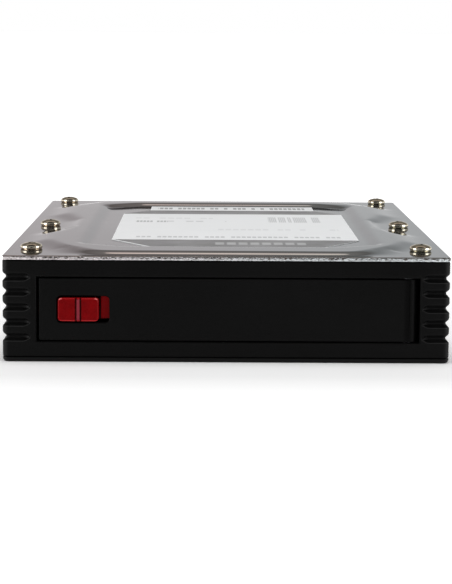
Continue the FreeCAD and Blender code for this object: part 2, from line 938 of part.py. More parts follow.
def make_base_screws():
    head_height = size.base_head_radius - size.screw_radius
    screw = turned_screw("base_screw", [
        (zero, zero),
        (size.base_head_radius, zero),
        (size.screw_radius, head_height),
        (size.screw_radius, size.base_screw_length),
        (zero, size.base_screw_length),
    ])
    places = [((x, y, size.base_head_sunk), no_turn) for x, y in floor_screw_spots]
    return group("base_screws", screw, places)


def make_board_screws():
    head = flat_head(size.board_head_radius, size.board_head_height)
    screw = headed_screw("board_screw", size.board_screw_radius, size.board_screw_length, head)
    places = [((x, y, board_top), no_turn) for x, y in board_screw_spots]
    return group("board_screws", screw, places)


def make_retainer_screws():
    head = flat_head(size.retainer_head_radius, size.retainer_head_height)
    screw = headed_screw("retainer_screw", size.retainer_screw_radius, size.retainer_screw_length, head)
    to_the_rear = FreeCAD.Rotation(x_axis, -90)
    places = [((x, retainer_back, z), to_the_rear) for x, z in retainer_screw_spots]
    return group("retainer_screws", screw, places)


def threaded_insert(label):
    """A six-sided metal sleeve with its mouth at Z = 0."""
    body = new_body(label)
    section = new_sketch(body, f"{label}_section", "XY", zero)
    hexagon(section, zero, zero, size.insert_radius, 0)
    circle(section, zero, zero, size.insert_bore)
    pad(body, section, size.insert_length, reverse=True)
    return body


def make_side_inserts():
    places = []
    for side in sides:
        outward = FreeCAD.Rotation(y_axis, 90 * side)
        for y in side_hole_rows:
            places.append(((half_width * side, y, size.side_hole_height), outward))
    return group("side_inserts", threaded_insert("side_insert"), places)


def make_base_inserts():
    downward = FreeCAD.Rotation(x_axis, 180)
    places = [((x, y, frame_base), downward) for x, y in base_hole_spots]
    return group("base_inserts", threaded_insert("base_insert"), places)


# Door with its latch


def make_front_door():
    body = new_body("front_door")
    door_height = door_roof - door_floor
    plan = new_sketch(body, "door_plan", "XY", door_floor)
    rectangle(plan, door_left, door_front, hinge_x, door_back)
    plate = pad(body, plan, door_height)

    def free_edge(box):
        return facing_front_at(door_front)(box) and box.XMax < door_left.value + near

    round_edges(body, plate, free_edge, size.door_edge_radius)
    barrel = new_sketch(body, "hinge_barrel", "XY", door_floor)
    circle(barrel, hinge_x, hinge_y, size.barrel_radius)
    pad(body, barrel, door_height)
    bore = new_sketch(body, "hinge_bore", "XY", door_roof)
    circle(bore, hinge_x, hinge_y, size.pin_radius + size.pin_clearance)
    pocket(body, bore, door_height)

    case_half = size.latch_case_height / 2
    case = new_sketch(body, "latch_case", "XZ", door_back)
    rectangle(case, door_left, door_middle - case_half, case_right, door_middle + case_half)
    pad(body, case, case_back - door_back, reverse=True)

    room_half = size.stop_above + size.pocket_gap
    spring_half = spring_room_height / 2
    room = new_sketch(body, "latch_room", "XZ", case_back)
    polygon(room, [
        (door_left + size.pocket_wall, door_middle - room_half),
        (pocket_right, door_middle - room_half),
        (pocket_right, door_middle - spring_half),
        (spring_end, door_middle - spring_half),
        (spring_end, door_middle + spring_half),
        (pocket_right, door_middle + spring_half),
        (pocket_right, door_middle + room_half),
        (door_left + size.pocket_wall, door_middle + room_half),
    ])
    pocket(body, room, case_back - skin_back, reverse=True)

    notch_half = size.tongue_height / 2 + size.pocket_gap
    notch = new_sketch(body, "tongue_notch", "XZ", case_back)
    rectangle(
        notch,
        door_left - size.tongue_reach,
        door_middle - notch_half,
        door_left + size.pocket_wall,
        door_middle + notch_half,
    )
    pocket(body, notch, case_back - tongue_front + size.latch_play, reverse=True)

    slot_half = size.button_height / 2 + size.slot_gap_side
    slot = new_sketch(body, "latch_slot", "XZ", door_front)
    rectangle(
        slot,
        button_left - size.slot_gap_end,
        door_middle - slot_half,
        button_right + size.latch_travel + size.slot_gap_end,
        door_middle + slot_half,
    )
    cut = pocket(body, slot, size.door_skin)
    skin_depth = size.door_skin.value

    def slot_corner(box):
        through = abs(box.YLength - skin_depth) < near and box.XLength < near and box.ZLength < near
        return through and abs(box.YMin - door_front.value) < near

    slot_rounded = round_edges(body, cut, slot_corner, size.slot_radius)
    slot_left = button_left - size.slot_gap_end
    slot_right = button_right + size.latch_travel + size.slot_gap_end

    def slot_rim(box):
        within = box.XMin > slot_left.value - near and box.XMax < slot_right.value + near
        return facing_front_at(door_front)(box) and within

    round_edges(body, slot_rounded, slot_rim, size.slot_edge_bevel, "Chamfer")

    screw_holes = new_sketch(body, "retainer_screw_holes", "XZ", case_back)
    for x, z in retainer_screw_spots:
        circle(screw_holes, x, z, size.retainer_screw_radius + size.screw_fit)
    pocket(body, screw_holes, size.retainer_screw_length - size.retainer_thickness / 2, reverse=True)
    return body


def make_latch_slider():
    body = new_body("latch_slider")

    def bar(name, x_low, x_high, height, y_low, y_high):
        profile = new_sketch(body, name, "XZ", y_low)
        rectangle(profile, x_low, door_middle - height / 2, x_high, door_middle + height / 2)
        return pad(body, profile, y_high - y_low, reverse=True)

    button_front = front - size.button_proud
    plate_front = flange_front + size.stop_step
    button = bar("button", button_left, button_right, size.button_height, button_front, plate_front)

    def button_corner(box):
        return box.YLength > near and box.XLength < near and box.ZLength < near

    rounded = round_edges(body, button, button_corner, size.button_corner)
    round_edges(body, rounded, facing_front_at(button_front), size.button_edge_bevel, "Chamfer")
    rib_middle = (button_left + button_right) / 2
    rib_half = size.rib_width / 2
    rib_height = size.button_height - size.button_edge_bevel * 2
    bar(
        "rib", rib_middle - rib_half, rib_middle + rib_half, rib_height,
        button_front - size.rib_proud, plate_front,
    )
    rib_sides = new_sketch(body, "rib_sides", "XZ", button_front)
    reach = size.button_height
    for side in sides:
        inner = rib_middle + rib_half * side
        outer = rib_middle + (rib_half + size.rib_groove) * side
        rectangle(rib_sides, inner, door_middle - reach, outer, door_middle + reach)
    pocket(body, rib_sides, size.rib_groove_depth)
    bar("flange", flange_left, flange_right, size.flange_height, plate_front, flange_back)
    stop = new_sketch(body, "stop", "XZ", flange_front)
    stop_left = button_right + size.stop_gap
    rectangle(stop, stop_left, door_middle - size.stop_below, flange_right, door_middle + size.stop_above)
    pad(body, stop, size.flange_thickness, reverse=True)
    bar("slide", flange_left, flange_right, size.slide_height, flange_back, slide_back)

    tongue = new_sketch(body, "tongue", "XY", door_middle - size.tongue_height / 2)
    tongue_tip = door_left - size.tongue_reach
    polygon(tongue, [
        (flange_left, tongue_front),
        (tongue_tip, tongue_front),
        (tongue_tip, slide_back - size.tongue_slope),
        (tongue_tip + size.tongue_slope, slide_back),
        (flange_left, slide_back),
    ])
    pad(body, tongue, size.tongue_height)
    return body


def make_latch_spring():
    """A spring strip bent to and fro between the slide and the end of its room."""
    body = new_body("latch_spring")
    strip = size.spring_strip
    pitch = (size.spring_room - strip) / (spring_legs - 1)
    low = door_middle - size.spring_height / 2
    high = door_middle + size.spring_height / 2
    spring_front = (flange_back + slide_back - size.spring_width) / 2
    block = new_sketch(body, "spring_block", "XZ", spring_front)
    rectangle(block, flange_right, low, spring_end, high)
    pad(body, block, size.spring_width, reverse=True)
    gaps = new_sketch(body, "spring_gaps", "XZ", spring_front)
    for leg in range(spring_legs - 1):
        gap_left = flange_right + strip + pitch * leg
        gap_right = gap_left + pitch - strip
        if leg % 2 == 0:
            rectangle(gaps, gap_left, low - strip, gap_right, high - strip)
        else:
            rectangle(gaps, gap_left, low + strip, gap_right, high + strip)
    pocket(body, gaps, size.spring_width)
    return body


def make_latch_retainer():
    body = new_body("latch_retainer")
    half = size.latch_case_height / 2 - size.retainer_inset
    plate = new_sketch(body, "retainer_plate", "XZ", case_back)
    rectangle(
        plate,
        door_left + size.retainer_inset,
        door_middle - half,
        case_right - size.retainer_inset,
        door_middle + half,
    )
    for x, z in retainer_screw_spots:
        circle(plate, x, z, size.retainer_screw_radius + size.screw_clearance)
    pad(body, plate, size.retainer_thickness, reverse=True)
    return body


def make_door_pad():
    body = new_body("door_pad")
    half = size.pad_width / 2
    low = door_middle - size.pad_height / 2
    high = door_middle + size.pad_height / 2
    block = new_sketch(body, "pad_block", "XZ", door_back)
    rectangle(block, size.pad_offset - half, low, size.pad_offset + half, high)
    solid = pad(body, block, size.pad_thickness, reverse=True)

    def along_depth(box):
        return box.YLength > near and box.XLength < near and box.ZLength < near

    round_edges(body, solid, along_depth, size.pad_corner)
    return body


def make_door_hinge_pin():
    body = new_body("door_hinge_pin")
    rod = new_sketch(body, "pin_rod", "XY", pin_base)
    circle(rod, hinge_x, hinge_y, size.pin_radius)
    pad(body, rod, frame_top - size.pin_cover_gap - pin_base)
    return body


# Board with its connectors


def make_backplane_board():
    body = new_body("backplane_board")
    outline = new_sketch(body, "board_outline", "XY", board_floor)
    rectangle(outline, -board_half, board_front, board_half, board_rear)
    for x, y in board_screw_spots:
        circle(outline, x, y, size.board_screw_radius + size.screw_clearance)
    pad(body, outline, size.board_thickness)
    return body


def make_drive_socket():
    body = new_body("drive_socket")
    half = size.socket_width / 2
    block = new_sketch(body, "socket_block", "XZ", socket_front)
    rectangle(
        block,
        socket_middle - half,
        board_top,
        socket_middle + half,
        board_top + size.socket_height,
    )
    pad(body, block, size.socket_length, reverse=True)
    slots = new_sketch(body, "socket_slots", "XZ", socket_front)
    slot_floor = board_top + (size.socket_height - size.socket_slot_height) / 2
    for left, width, count in connector_segments(socket_middle):
        rectangle(slots, left, slot_floor, left + width, slot_floor + size.socket_slot_height)
    pocket(body, slots, size.socket_slot_depth)
    return body


def contact_strip(label, length):
    """A flat contact from Y = 0 to the rear, with its lower face at Z = 0."""
    body = new_body(label)
    half = size.contact_width / 2
    outline = new_sketch(body, f"{label}_outline", "XY", zero)
    rectangle(outline, -half, zero, half, length)
    pad(body, outline, size.contact_thickness)
    return body


def contact_columns(centre):
    columns = []
    for left, width, count in connector_segments(centre):
        first = left + (size.segment_margin + size.contact_pitch) / 2
        columns.extend(first + size.contact_pitch * number for number in range(count))
    return columns


def make_drive_socket_contacts():
    strip = contact_strip("socket_contact", size.socket_slot_depth)
    slot_roof = board_top + (size.socket_height + size.socket_slot_height) / 2
    height = slot_roof - size.contact_thickness
    places = [((x, socket_front, height), no_turn) for x in contact_columns(socket_middle)]
    return group("drive_socket_contacts", strip, places)


def make_host_plug():
    body = new_body("host_plug")
    plug_front = rear - size.plug_length
    block = new_sketch(body, "plug_block", "XZ", plug_front)
    rectangle(block, plug_left, board_top, plug_right, plug_top)
    pad(body, block, size.plug_length, reverse=True)

    wall = size.plug_wall
    middle = board_top + size.plug_height / 2
    tongue_half = size.plug_tongue / 2
    cavity = new_sketch(body, "plug_cavity", "XZ", rear)
    rectangle(cavity, plug_left + wall, board_top + wall, plug_right - wall, plug_top - wall)
    for left, width, count in connector_segments(plug_middle):
        rectangle(cavity, left, middle - tongue_half, left + width, middle + tongue_half)
    pocket(body, cavity, size.plug_cavity_depth, reverse=True)
    return body


def make_host_plug_contacts():
    strip = contact_strip("plug_contact", size.plug_cavity_depth)
    height = board_top + size.plug_height / 2 + size.plug_tongue / 2
    start = rear - size.plug_cavity_depth
    places = [((x, start, height), no_turn) for x in contact_columns(plug_middle)]
    return group("host_plug_contacts", strip, places)


def make_board_capacitors():
    chip = new_body("board_capacitor")
    half_length = size.capacitor_length / 2
    half_width_of_chip = size.capacitor_width / 2
    outline = new_sketch(chip, "capacitor_outline", "XY", zero)
    rectangle(outline, -half_width_of_chip, -half_length, half_width_of_chip, half_length)
    pad(chip, outline, size.capacitor_height)
    y = board_rear - size.capacitor_edge - half_length
    first = plug_left - size.capacitor_pitch
    columns = [first - size.capacitor_pitch * number for number in range(capacitor_count)]
    return group("board_capacitors", chip, [((x, y, board_top), no_turn) for x in columns])


# The whole object, one file for each node

nodes = [
    make_main_frame(),
    make_bottom_plate(),
    make_top_cover(),
    make_cover_label(),
    make_cover_screws(),
    make_base_screws(),
    make_side_inserts(),
    make_base_inserts(),
    make_front_door(),
    make_door_hinge_pin(),
    make_latch_slider(),
    make_latch_spring(),
    make_latch_retainer(),
    make_retainer_screws(),
    make_door_pad(),
    make_backplane_board(),
    make_drive_socket(),
    make_drive_socket_contacts(),
    make_host_plug(),
    make_host_plug_contacts(),
    make_board_capacitors(),
    make_board_screws(),
]
document.recompute()

for thing in document.Objects:
    if "Invalid" in thing.State or "Error" in thing.State:
        raise RuntimeError(f"{thing.Name} failed: {thing.State}")
for node in nodes:
    if node.Shape.isNull() or not node.Shape.isValid() or not node.Shape.Solids:
        raise RuntimeError(f"{node.Label} has no sound solid")

os.makedirs("parts", exist_ok=True)
for node in nodes:
    node.Shape.exportStep(f"parts/{node.Label}.step")
    print(node.Label, len(node.Shape.Solids), round(node.Shape.Volume, 2))
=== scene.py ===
import json
import math

import bmesh
import bpy
from mathutils import Matrix, Vector
from mathutils.bvhtree import BVHTree


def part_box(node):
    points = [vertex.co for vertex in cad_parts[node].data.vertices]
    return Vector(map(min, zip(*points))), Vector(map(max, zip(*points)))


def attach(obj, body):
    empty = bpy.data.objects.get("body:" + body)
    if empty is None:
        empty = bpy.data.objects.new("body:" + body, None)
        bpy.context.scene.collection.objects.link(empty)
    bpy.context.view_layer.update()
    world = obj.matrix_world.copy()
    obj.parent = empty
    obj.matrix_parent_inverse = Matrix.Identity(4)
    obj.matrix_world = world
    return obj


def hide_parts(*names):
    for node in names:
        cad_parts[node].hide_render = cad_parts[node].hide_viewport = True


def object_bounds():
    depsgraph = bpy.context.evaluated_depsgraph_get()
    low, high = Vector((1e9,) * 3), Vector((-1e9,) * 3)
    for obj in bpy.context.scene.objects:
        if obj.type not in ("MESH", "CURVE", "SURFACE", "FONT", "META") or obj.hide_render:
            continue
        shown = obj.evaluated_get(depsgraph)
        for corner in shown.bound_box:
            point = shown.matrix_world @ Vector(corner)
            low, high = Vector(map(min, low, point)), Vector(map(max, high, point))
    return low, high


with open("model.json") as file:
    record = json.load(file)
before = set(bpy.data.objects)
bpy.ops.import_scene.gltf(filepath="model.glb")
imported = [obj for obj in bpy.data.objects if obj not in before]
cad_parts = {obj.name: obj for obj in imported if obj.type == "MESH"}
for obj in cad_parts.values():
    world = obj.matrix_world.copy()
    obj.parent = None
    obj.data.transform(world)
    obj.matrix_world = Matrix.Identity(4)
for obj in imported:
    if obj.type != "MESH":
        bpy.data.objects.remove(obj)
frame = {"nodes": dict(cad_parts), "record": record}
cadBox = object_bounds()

mm = 0.001
up = Vector((0.0, 0.0, 1.0))
nodes = frame["nodes"]
record = frame["record"]
bodyOf = {node: body for body, members in record["behaviour"]["bodies"].items() for node in members}
slotOf = {row["node"]: row["material_slot"] for row in record["subparts"]}
print("frame loaded:", len(nodes), "nodes")


def addObject(name, content):
    made = bpy.data.objects.new(name, content)
    bpy.context.scene.collection.objects.link(made)
    return made


# node helpers: where no tree is given, they work in that of their sockets

def feed(socket, value):
    # a list makes several links into one socket
    if isinstance(value, list):
        for part in value:
            feed(socket, part)
    elif isinstance(value, bpy.types.NodeSocket):
        socket.id_data.links.new(value, socket)
    else:
        socket.default_value = value


def addNode(tree, kind, inputs=None, **settings):
    node = tree.nodes.new(kind)
    for name, value in settings.items():
        setattr(node, name, value)
    for label, value in (inputs or {}).items():
        feed(node.inputs[label], value)
    return node.outputs


def treeOf(*values):
    return next(value.id_data for value in values if isinstance(value, bpy.types.NodeSocket))


def maths(operation, *values, clamp=False):
    inputs = dict(enumerate(values))
    return addNode(treeOf(*values), "ShaderNodeMath", inputs, operation=operation, use_clamp=clamp)[0]


def times(first, *others):
    for other in others:
        first = maths("MULTIPLY", first, other)
    return first


def plus(first, *others):
    for other in others:
        first = maths("ADD", first, other)
    return first


def minus(first, second):
    return maths("SUBTRACT", first, second)


def over(first, second):
    return maths("DIVIDE", first, second)


def mixColour(factor, first, second):
    return addNode(factor.id_data, "ShaderNodeMix", {0: factor, 6: first, 7: second}, data_type="RGBA")[2]


def span(value, low, high, lowOut=0.0, highOut=1.0):
    inputs = {"Value": value, "From Min": low, "From Max": high, "To Min": lowOut, "To Max": highOut}
    return addNode(value.id_data, "ShaderNodeMapRange", inputs)["Result"]


def fade(value, low, high):
    return span(value, low, high, 1.0, 0.0)


def graded(share, low, high):
    return span(share, 0.0, 1.0, low, high)


def between(value, low, high, soft):
    rise = span(value, low - soft / 2, low + soft / 2)
    return times(rise, fade(value, high - soft / 2, high + soft / 2))


def vector(x, y, z):
    return addNode(treeOf(x, y, z), "ShaderNodeCombineXYZ", {0: x, 1: y, 2: z})[0]


def axes(place):
    return addNode(place.id_data, "ShaderNodeSeparateXYZ", {0: place})


def millimetres(tree):
    # object coordinates, in millimetres
    place = addNode(tree, "ShaderNodeTexCoord")["Object"]
    return addNode(tree, "ShaderNodeVectorMath", {0: place, "Scale": 1 / mm}, operation="SCALE")[0]


def noise(place, scale, detail=2.0, roughness=0.5):
    inputs = {"Vector": place, "Scale": scale, "Detail": detail, "Roughness": roughness}
    return addNode(place.id_data, "ShaderNodeTexNoise", inputs)["Fac"]


def stretched(place, scale):
    return addNode(place.id_data, "ShaderNodeMapping", {"Vector": place, "Scale": scale})[0]


def longNoise(place, stretch, *detail):
    return noise(stretched(place, stretch), 1.0, *detail)


def grey(level):
    return (level, level, level, 1.0)


# shared effects: noise is given as detail and roughness, and a span of it counts

grainSettings = {
    "sizes": {"Grain Size": 0.25, "Drift Size": 25.0},
    "fine": (3.0, 0.65),
    "fineSpan": (0.35, 0.7),
    "coarse": (0.31, 2.0, 0.5),  # scale beside the fine one, detail, share of the height
    "drift": (4.0, 0.6),
    "driftSpan": (0.3, 0.72),
}
scuffSettings = {
    "sizes": {"Spacing": 0.6},
    "stretch": (0.06, 1.0, 1.0),
    "lines": (3.0, 0.7),
    "lineSpan": (0.62, 0.74),
}


def newEffect(name, sizes, outputs):
    group = bpy.data.node_groups.new(name, "ShaderNodeTree")
    for label, size in sizes.items():
        socket = group.interface.new_socket(label, in_out="INPUT", socket_type="NodeSocketFloat")
        socket.default_value = size
    for label in outputs:
        group.interface.new_socket(label, in_out="OUTPUT", socket_type="NodeSocketFloat")
    return group, addNode(group, "NodeGroupInput"), group.nodes.new("NodeGroupOutput").inputs


def makeGrainGroup():
    # spark-eroded mould texture: fine pits, and a slow drift in gloss from handling
    settings = grainSettings
    group, start, end = newEffect("mouldGrain", settings["sizes"], ("Height", "Grain", "Drift"))
    place = millimetres(group)
    scale = over(1.0, start["Grain Size"])
    fine = noise(place, scale, *settings["fine"])
    coarseScale, coarseDetail, coarseShare = settings["coarse"]
    coarse = noise(place, times(scale, coarseScale), coarseDetail)
    drift = noise(place, over(1.0, start["Drift Size"]), *settings["drift"])
    feed(end["Height"], plus(fine, times(coarse, coarseShare)))
    feed(end["Grain"], span(fine, *settings["fineSpan"]))
    feed(end["Drift"], span(drift, *settings["driftSpan"]))
    return group


def makeScuffGroup():
    # short straight rub marks, along X
    settings = scuffSettings
    group, start, end = newEffect("rubMarks", settings["sizes"], ("Marks",))
    place = stretched(millimetres(group), settings["stretch"])
    lines = noise(place, over(1.0, start["Spacing"]), *settings["lines"])
    feed(end["Marks"], span(lines, *settings["lineSpan"]))
    return group


grainGroup = makeGrainGroup()
scuffGroup = makeScuffGroup()


# finishes: lengths in mm, "rough" is a range of roughness, "bump" a strength and a depth

def newFinish(name, sockets):
    material = bpy.data.materials.new(name)
    material.use_nodes = True
    shader = material.node_tree.nodes["Principled BSDF"]
    for label, value in sockets.items():
        shader.inputs[label].default_value = value
    return material, material.node_tree, shader


def useGroup(tree, group, sizes):
    return addNode(tree, "ShaderNodeGroup", sizes, node_tree=group)


def bumpFrom(shader, height, strength, depth, under=None):
    inputs = {"Height": height, "Strength": strength, "Distance": depth * mm}
    if under:
        inputs["Normal"] = under
    bumped = addNode(shader.id_data, "ShaderNodeBump", inputs)[0]
    feed(shader.inputs["Normal"], bumped)
    return bumped


def setSurface(shader, settings, colour, share, height):
    feed(shader.inputs["Base Color"], colour)
    feed(shader.inputs["Roughness"], graded(share, *settings["rough"]))
    return bumpFrom(shader, height, *settings["bump"])


mouldedSettings = {
    "blackPlastic": {
        "dark": 0.0004, "light": 0.0034, "worn": 0.026,
        "rough": (0.38, 0.54), "grain": 0.3, "bump": (0.9, 0.03), "gloss": 0.1,
    },
    "blackPlate": {
        "dark": 0.0008, "light": 0.0024, "worn": 0.02,
        "rough": (0.34, 0.46), "grain": 0.3, "bump": (0.2, 0.03), "gloss": 0.15,
    },
    "connectorBlack": {
        "dark": 0.010, "light": 0.017, "worn": 0.03,
        "rough": (0.4, 0.55), "grain": 0.35, "bump": (0.2, 0.03), "gloss": 0.35,
    },
    "padRubber": {
        "dark": 0.012, "light": 0.03, "worn": 0.05,
        "rough": (0.75, 0.95), "grain": 0.45, "bump": (0.9, 0.03), "gloss": 0.15,
    },
}
mouldedShares = {
    "tone": (0.7, 0.3),  # of grain and drift in the colour
    "worn": (0.55, 1.0),  # of the painted edge highlight that shows
}
doorLow, doorHigh = (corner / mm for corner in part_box("front_door"))
roundSettings = {
    # the door's round hinge edge mirrors little of the room
    "gloss": 0.055,
    "start": (40.2, 40.9),
    "beside": 0.05,  # reach past the door's side
    "beyond": 0.15,  # reach past its ends
    "soft": 0.1,
}


def roundEdgeGloss(tree, gloss):
    settings = roundSettings
    beyond = settings["beyond"]
    x, y, z = axes(millimetres(tree))
    across = times(span(x, *settings["start"]), maths("LESS_THAN", x, doorHigh.x + settings["beside"]))
    onEdge = times(across, between(z, doorLow.z - beyond, doorHigh.z + beyond, settings["soft"]))
    return graded(onEdge, gloss, settings["gloss"])


def mouldedFinish(name):
    settings = mouldedSettings[name]
    gloss = settings["gloss"]
    material, tree, shader = newFinish(name, {"Specular IOR Level": gloss})
    grain = useGroup(tree, grainGroup, {"Grain Size": settings["grain"]})
    byGrain, byDrift = mouldedShares["tone"]
    tone = plus(times(grain["Grain"], byGrain), times(grain["Drift"], byDrift))
    colour = mixColour(tone, grey(settings["dark"]), grey(settings["light"]))
    # up-facing broken edges get a lighter colour, patchy with the drift: a painted highlight
    edges = addNode(tree, "ShaderNodeAttribute", attribute_name="wornEdge")["Fac"]
    worn = times(edges, graded(grain["Drift"], *mouldedShares["worn"]))
    colour = mixColour(worn, colour, grey(settings["worn"]))
    setSurface(shader, settings, colour, grain["Drift"], grain["Height"])
    if name == "blackPlastic":
        feed(shader.inputs["Specular IOR Level"], roundEdgeGloss(tree, gloss))
    return material


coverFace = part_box("cover_label")[0].z / mm
sheetSettings = {
    "sockets": {"Metallic": 1.0, "Specular Tint": (0.385, 0.385, 0.385, 1.0)},
    "warm": (0.80, 0.745, 0.755, 1.0),
    "cool": (0.70, 0.74, 0.755, 1.0),
    "coolFrom": (-20.0, 45.0),  # painted reflection, from warm on the left to cool on the right
    "streaks": ((0.035, 0.5, 0.5), 3.0, 0.6),
    "streakShift": 40.0,  # how far streaks shift that border
    "grain": {"Drift Size": 18.0},
    "rough": (0.05, 0.09),
    "waves": ((0.05, 0.02, 0.05), 2.0),
    "bump": (0.2, 0.6),
    "edgeDrop": (0.25, 0.1),  # the sheared edge starts this far below the face
    "tears": ((1.5, 1.5, 2.6), 3.0, 0.6),
    "tearBump": (1.0, 0.24),
    "gapColour": (0.16, 0.14, 0.13, 1.0),
    "gapBand": (0.2, 0.7, 0.08),  # dark gaps lie this far below the face; softness
    "gaps": ((1.2, 1.2, 2.2), 2.0),
    "gapSpan": (0.5, 0.6),
}


def sheetFinish():
    # bright pressed sheet: slow waves from pressing, faint streaks, and torn marks on the sheared edge; its
    # colour runs from warm on the left to cool on the right, a painted reflection
    settings = sheetSettings
    material, tree, shader = newFinish("coverMetal", settings["sockets"])
    place = millimetres(tree)
    x, y, z = axes(place)
    shift = times(longNoise(place, *settings["streaks"]), settings["streakShift"])
    # warm on the left, cool on the right: painted reflection
    tint = mixColour(span(plus(x, shift), *settings["coolFrom"]), settings["warm"], settings["cool"])
    nearest, deepest, soft = settings["gapBand"]
    inBand = between(z, coverFace - deepest, coverFace - nearest, soft)
    gaps = span(longNoise(place, *settings["gaps"]), *settings["gapSpan"])
    tint = mixColour(times(inBand, gaps), tint, settings["gapColour"])
    drift = useGroup(tree, grainGroup, settings["grain"])["Drift"]
    pressed = setSurface(shader, settings, tint, drift, longNoise(place, *settings["waves"]))
    deep, shallow = settings["edgeDrop"]
    edge = fade(z, coverFace - deep, coverFace - shallow)
    tears = times(longNoise(place, *settings["tears"]), edge)
    bumpFrom(shader, tears, *settings["tearBump"], pressed)
    return material


metalShared = {
    "sockets": {"Metallic": 1.0},
    "grain": {"Grain Size": 0.2, "Drift Size": 3.0},
    "marks": {"Spacing": 0.25},
    "bump": (0.2, 0.02),
}
metalSettings = {
    # colours: dull, bright
    "nickelScrew": {
        "sockets": {"Metallic": 1.0, "Specular Tint": (0.8, 0.78, 0.74, 1.0)},
        "colours": ((0.62, 0.56, 0.43, 1.0), (0.72, 0.67, 0.56, 1.0)), "rough": (0.08, 0.16),
        "grain": {"Grain Size": 0.15, "Drift Size": 2.5}, "marks": None, "bump": (0.08, 0.02),
    },
    "blackScrew": {
        "colours": ((0.02, 0.02, 0.021, 1.0), (0.05, 0.05, 0.052, 1.0)), "rough": (0.35, 0.49),
    },
    "insertBrass": {
        "colours": ((0.56, 0.40, 0.16, 1.0), (0.76, 0.58, 0.28, 1.0)), "rough": (0.22, 0.36),
    },
    # darker than bare steel: painted shade, as the hinge pin shows only in a shaded gap
    "shadedPinSteel": {
        "colours": ((0.14, 0.14, 0.145, 1.0), (0.24, 0.24, 0.25, 1.0)), "rough": (0.32, 0.46),
    },
    "contactGold": {
        "colours": ((0.72, 0.5, 0.17, 1.0), (0.9, 0.68, 0.28, 1.0)), "rough": (0.18, 0.32),
    },
}


def metalFinish(name):
    settings = {**metalShared, **metalSettings[name]}
    material, tree, shader = newFinish(name, settings["sockets"])
    grain = useGroup(tree, grainGroup, settings["grain"])
    bright = grain["Drift"]
    if settings["marks"]:
        bright = maths("MAXIMUM", bright, useGroup(tree, scuffGroup, settings["marks"])["Marks"])
    colour = mixColour(bright, *settings["colours"])
    setSurface(shader, settings, colour, grain["Drift"], grain["Height"])
    return material


redSettings = {
    "sockets": {"Specular IOR Level": 0.05},
    "deep": (0.15, 0.0005, 0.0015, 1.0),
    "bright": (0.205, 0.0008, 0.002, 1.0),
    # edge and spot: painted highlights on the button's rounded edges and upper corners
    "edge": (0.58, 0.03, 0.035, 1.0),
    "spot": (0.7, 0.15, 0.15, 1.0),
    # dark red beside the rib: painted shade in the grooves there
    "groove": (0.05, 0.0005, 0.001, 1.0),
    # pale red on the rib's front: painted highlight
    "ribSheen": (0.24, 0.028, 0.042, 1.0),
    # lighter red on faces behind the button's front: painted light on the shaded flange
    "flange": (0.265, 0.0014, 0.003, 1.0),
    # near-black red: painted shade on the slide and its tongue behind the door
    "inside": (0.035, 0.0005, 0.0008, 1.0),
    "grain": {"Grain Size": 0.5, "Drift Size": 2.0},
    "rough": (0.24, 0.36),
    "bump": (0.2, 0.02),
    # depths from the rib's front: rib with a painted highlight, painted highlight on the thin edge of the
    # button, flange painted lighter, painted shade on the slide behind
    "ribDepth": (0.06, 0.12),
    "edgeStart": (0.17, 0.2),
    "edgeEnd": (0.42, 0.5),
    "flangeStart": (0.8, 0.95),
    "slideStart": (2.3, 2.6),
    # the button's middle, half its size, and from the middle the rib and its foot
    "middle": (-33.53, 12.05),
    "half": (4.61, 2.66),
    "ribHalf": (0.28, 0.36),
    "ribFoot": (0.6, 0.72),
    # from the button's outline inwards: top and bottom edge with a painted highlight, and painted highlight
    # spots in the upper corners
    "edgeBand": (0.35, 0.2),
    "spotAcross": (1.0, 0.7),
    "spotBand": (0.5, 0.3),
    "edgeWeight": (0.1, 0.3, 0.95),  # strength of the painted highlight at the sides, at the top, at the bottom
}
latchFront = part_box("latch_slider")[0].y / mm


def redFinish():
    settings = redSettings
    material, tree, shader = newFinish("redPlastic", settings["sockets"])
    grain = useGroup(tree, grainGroup, settings["grain"])
    x, y, z = axes(millimetres(tree))
    (middleX, middleZ), (halfX, halfZ) = settings["middle"], settings["half"]
    depth = minus(y, latchFront)
    rise = minus(z, middleZ)
    sideways = maths("ABSOLUTE", minus(x, middleX))
    edge = times(span(depth, *settings["edgeStart"]), fade(depth, *settings["edgeEnd"]))
    inner, outer = (halfZ - inset for inset in settings["edgeBand"])
    atSides, atTop, atBottom = settings["edgeWeight"]
    top = span(rise, inner, outer, 0.0, atTop - atSides)
    bottom = span(rise, -outer, -inner, atBottom - atSides, 0.0)
    spotSide = span(sideways, *(halfX - inset for inset in settings["spotAcross"]))
    spotTop = span(rise, *(halfZ - inset for inset in settings["spotBand"]))
    besideRib = span(sideways, *settings["ribHalf"])
    onRib = fade(sideways, *settings["ribHalf"])
    layers = {
        # painted highlight on the button's edges, and spots of it in the upper corners
        "edge": times(edge, plus(top, bottom, atSides)),
        "spot": times(edge, times(spotSide, spotTop)),
        # painted shade beside the rib
        "groove": times(besideRib, fade(sideways, *settings["ribFoot"])),
        # painted highlight on the rib
        "ribSheen": times(fade(depth, *settings["ribDepth"]), onRib),
        # painted light on the flange
        "flange": span(depth, *settings["flangeStart"]),
        # painted shade on the slide behind
        "inside": span(depth, *settings["slideStart"]),
    }
    colour = mixColour(grain["Drift"], settings["deep"], settings["bright"])
    for name, mask in layers.items():
        colour = mixColour(mask, colour, settings[name])
    setSurface(shader, settings, colour, grain["Grain"], grain["Height"])
    return material


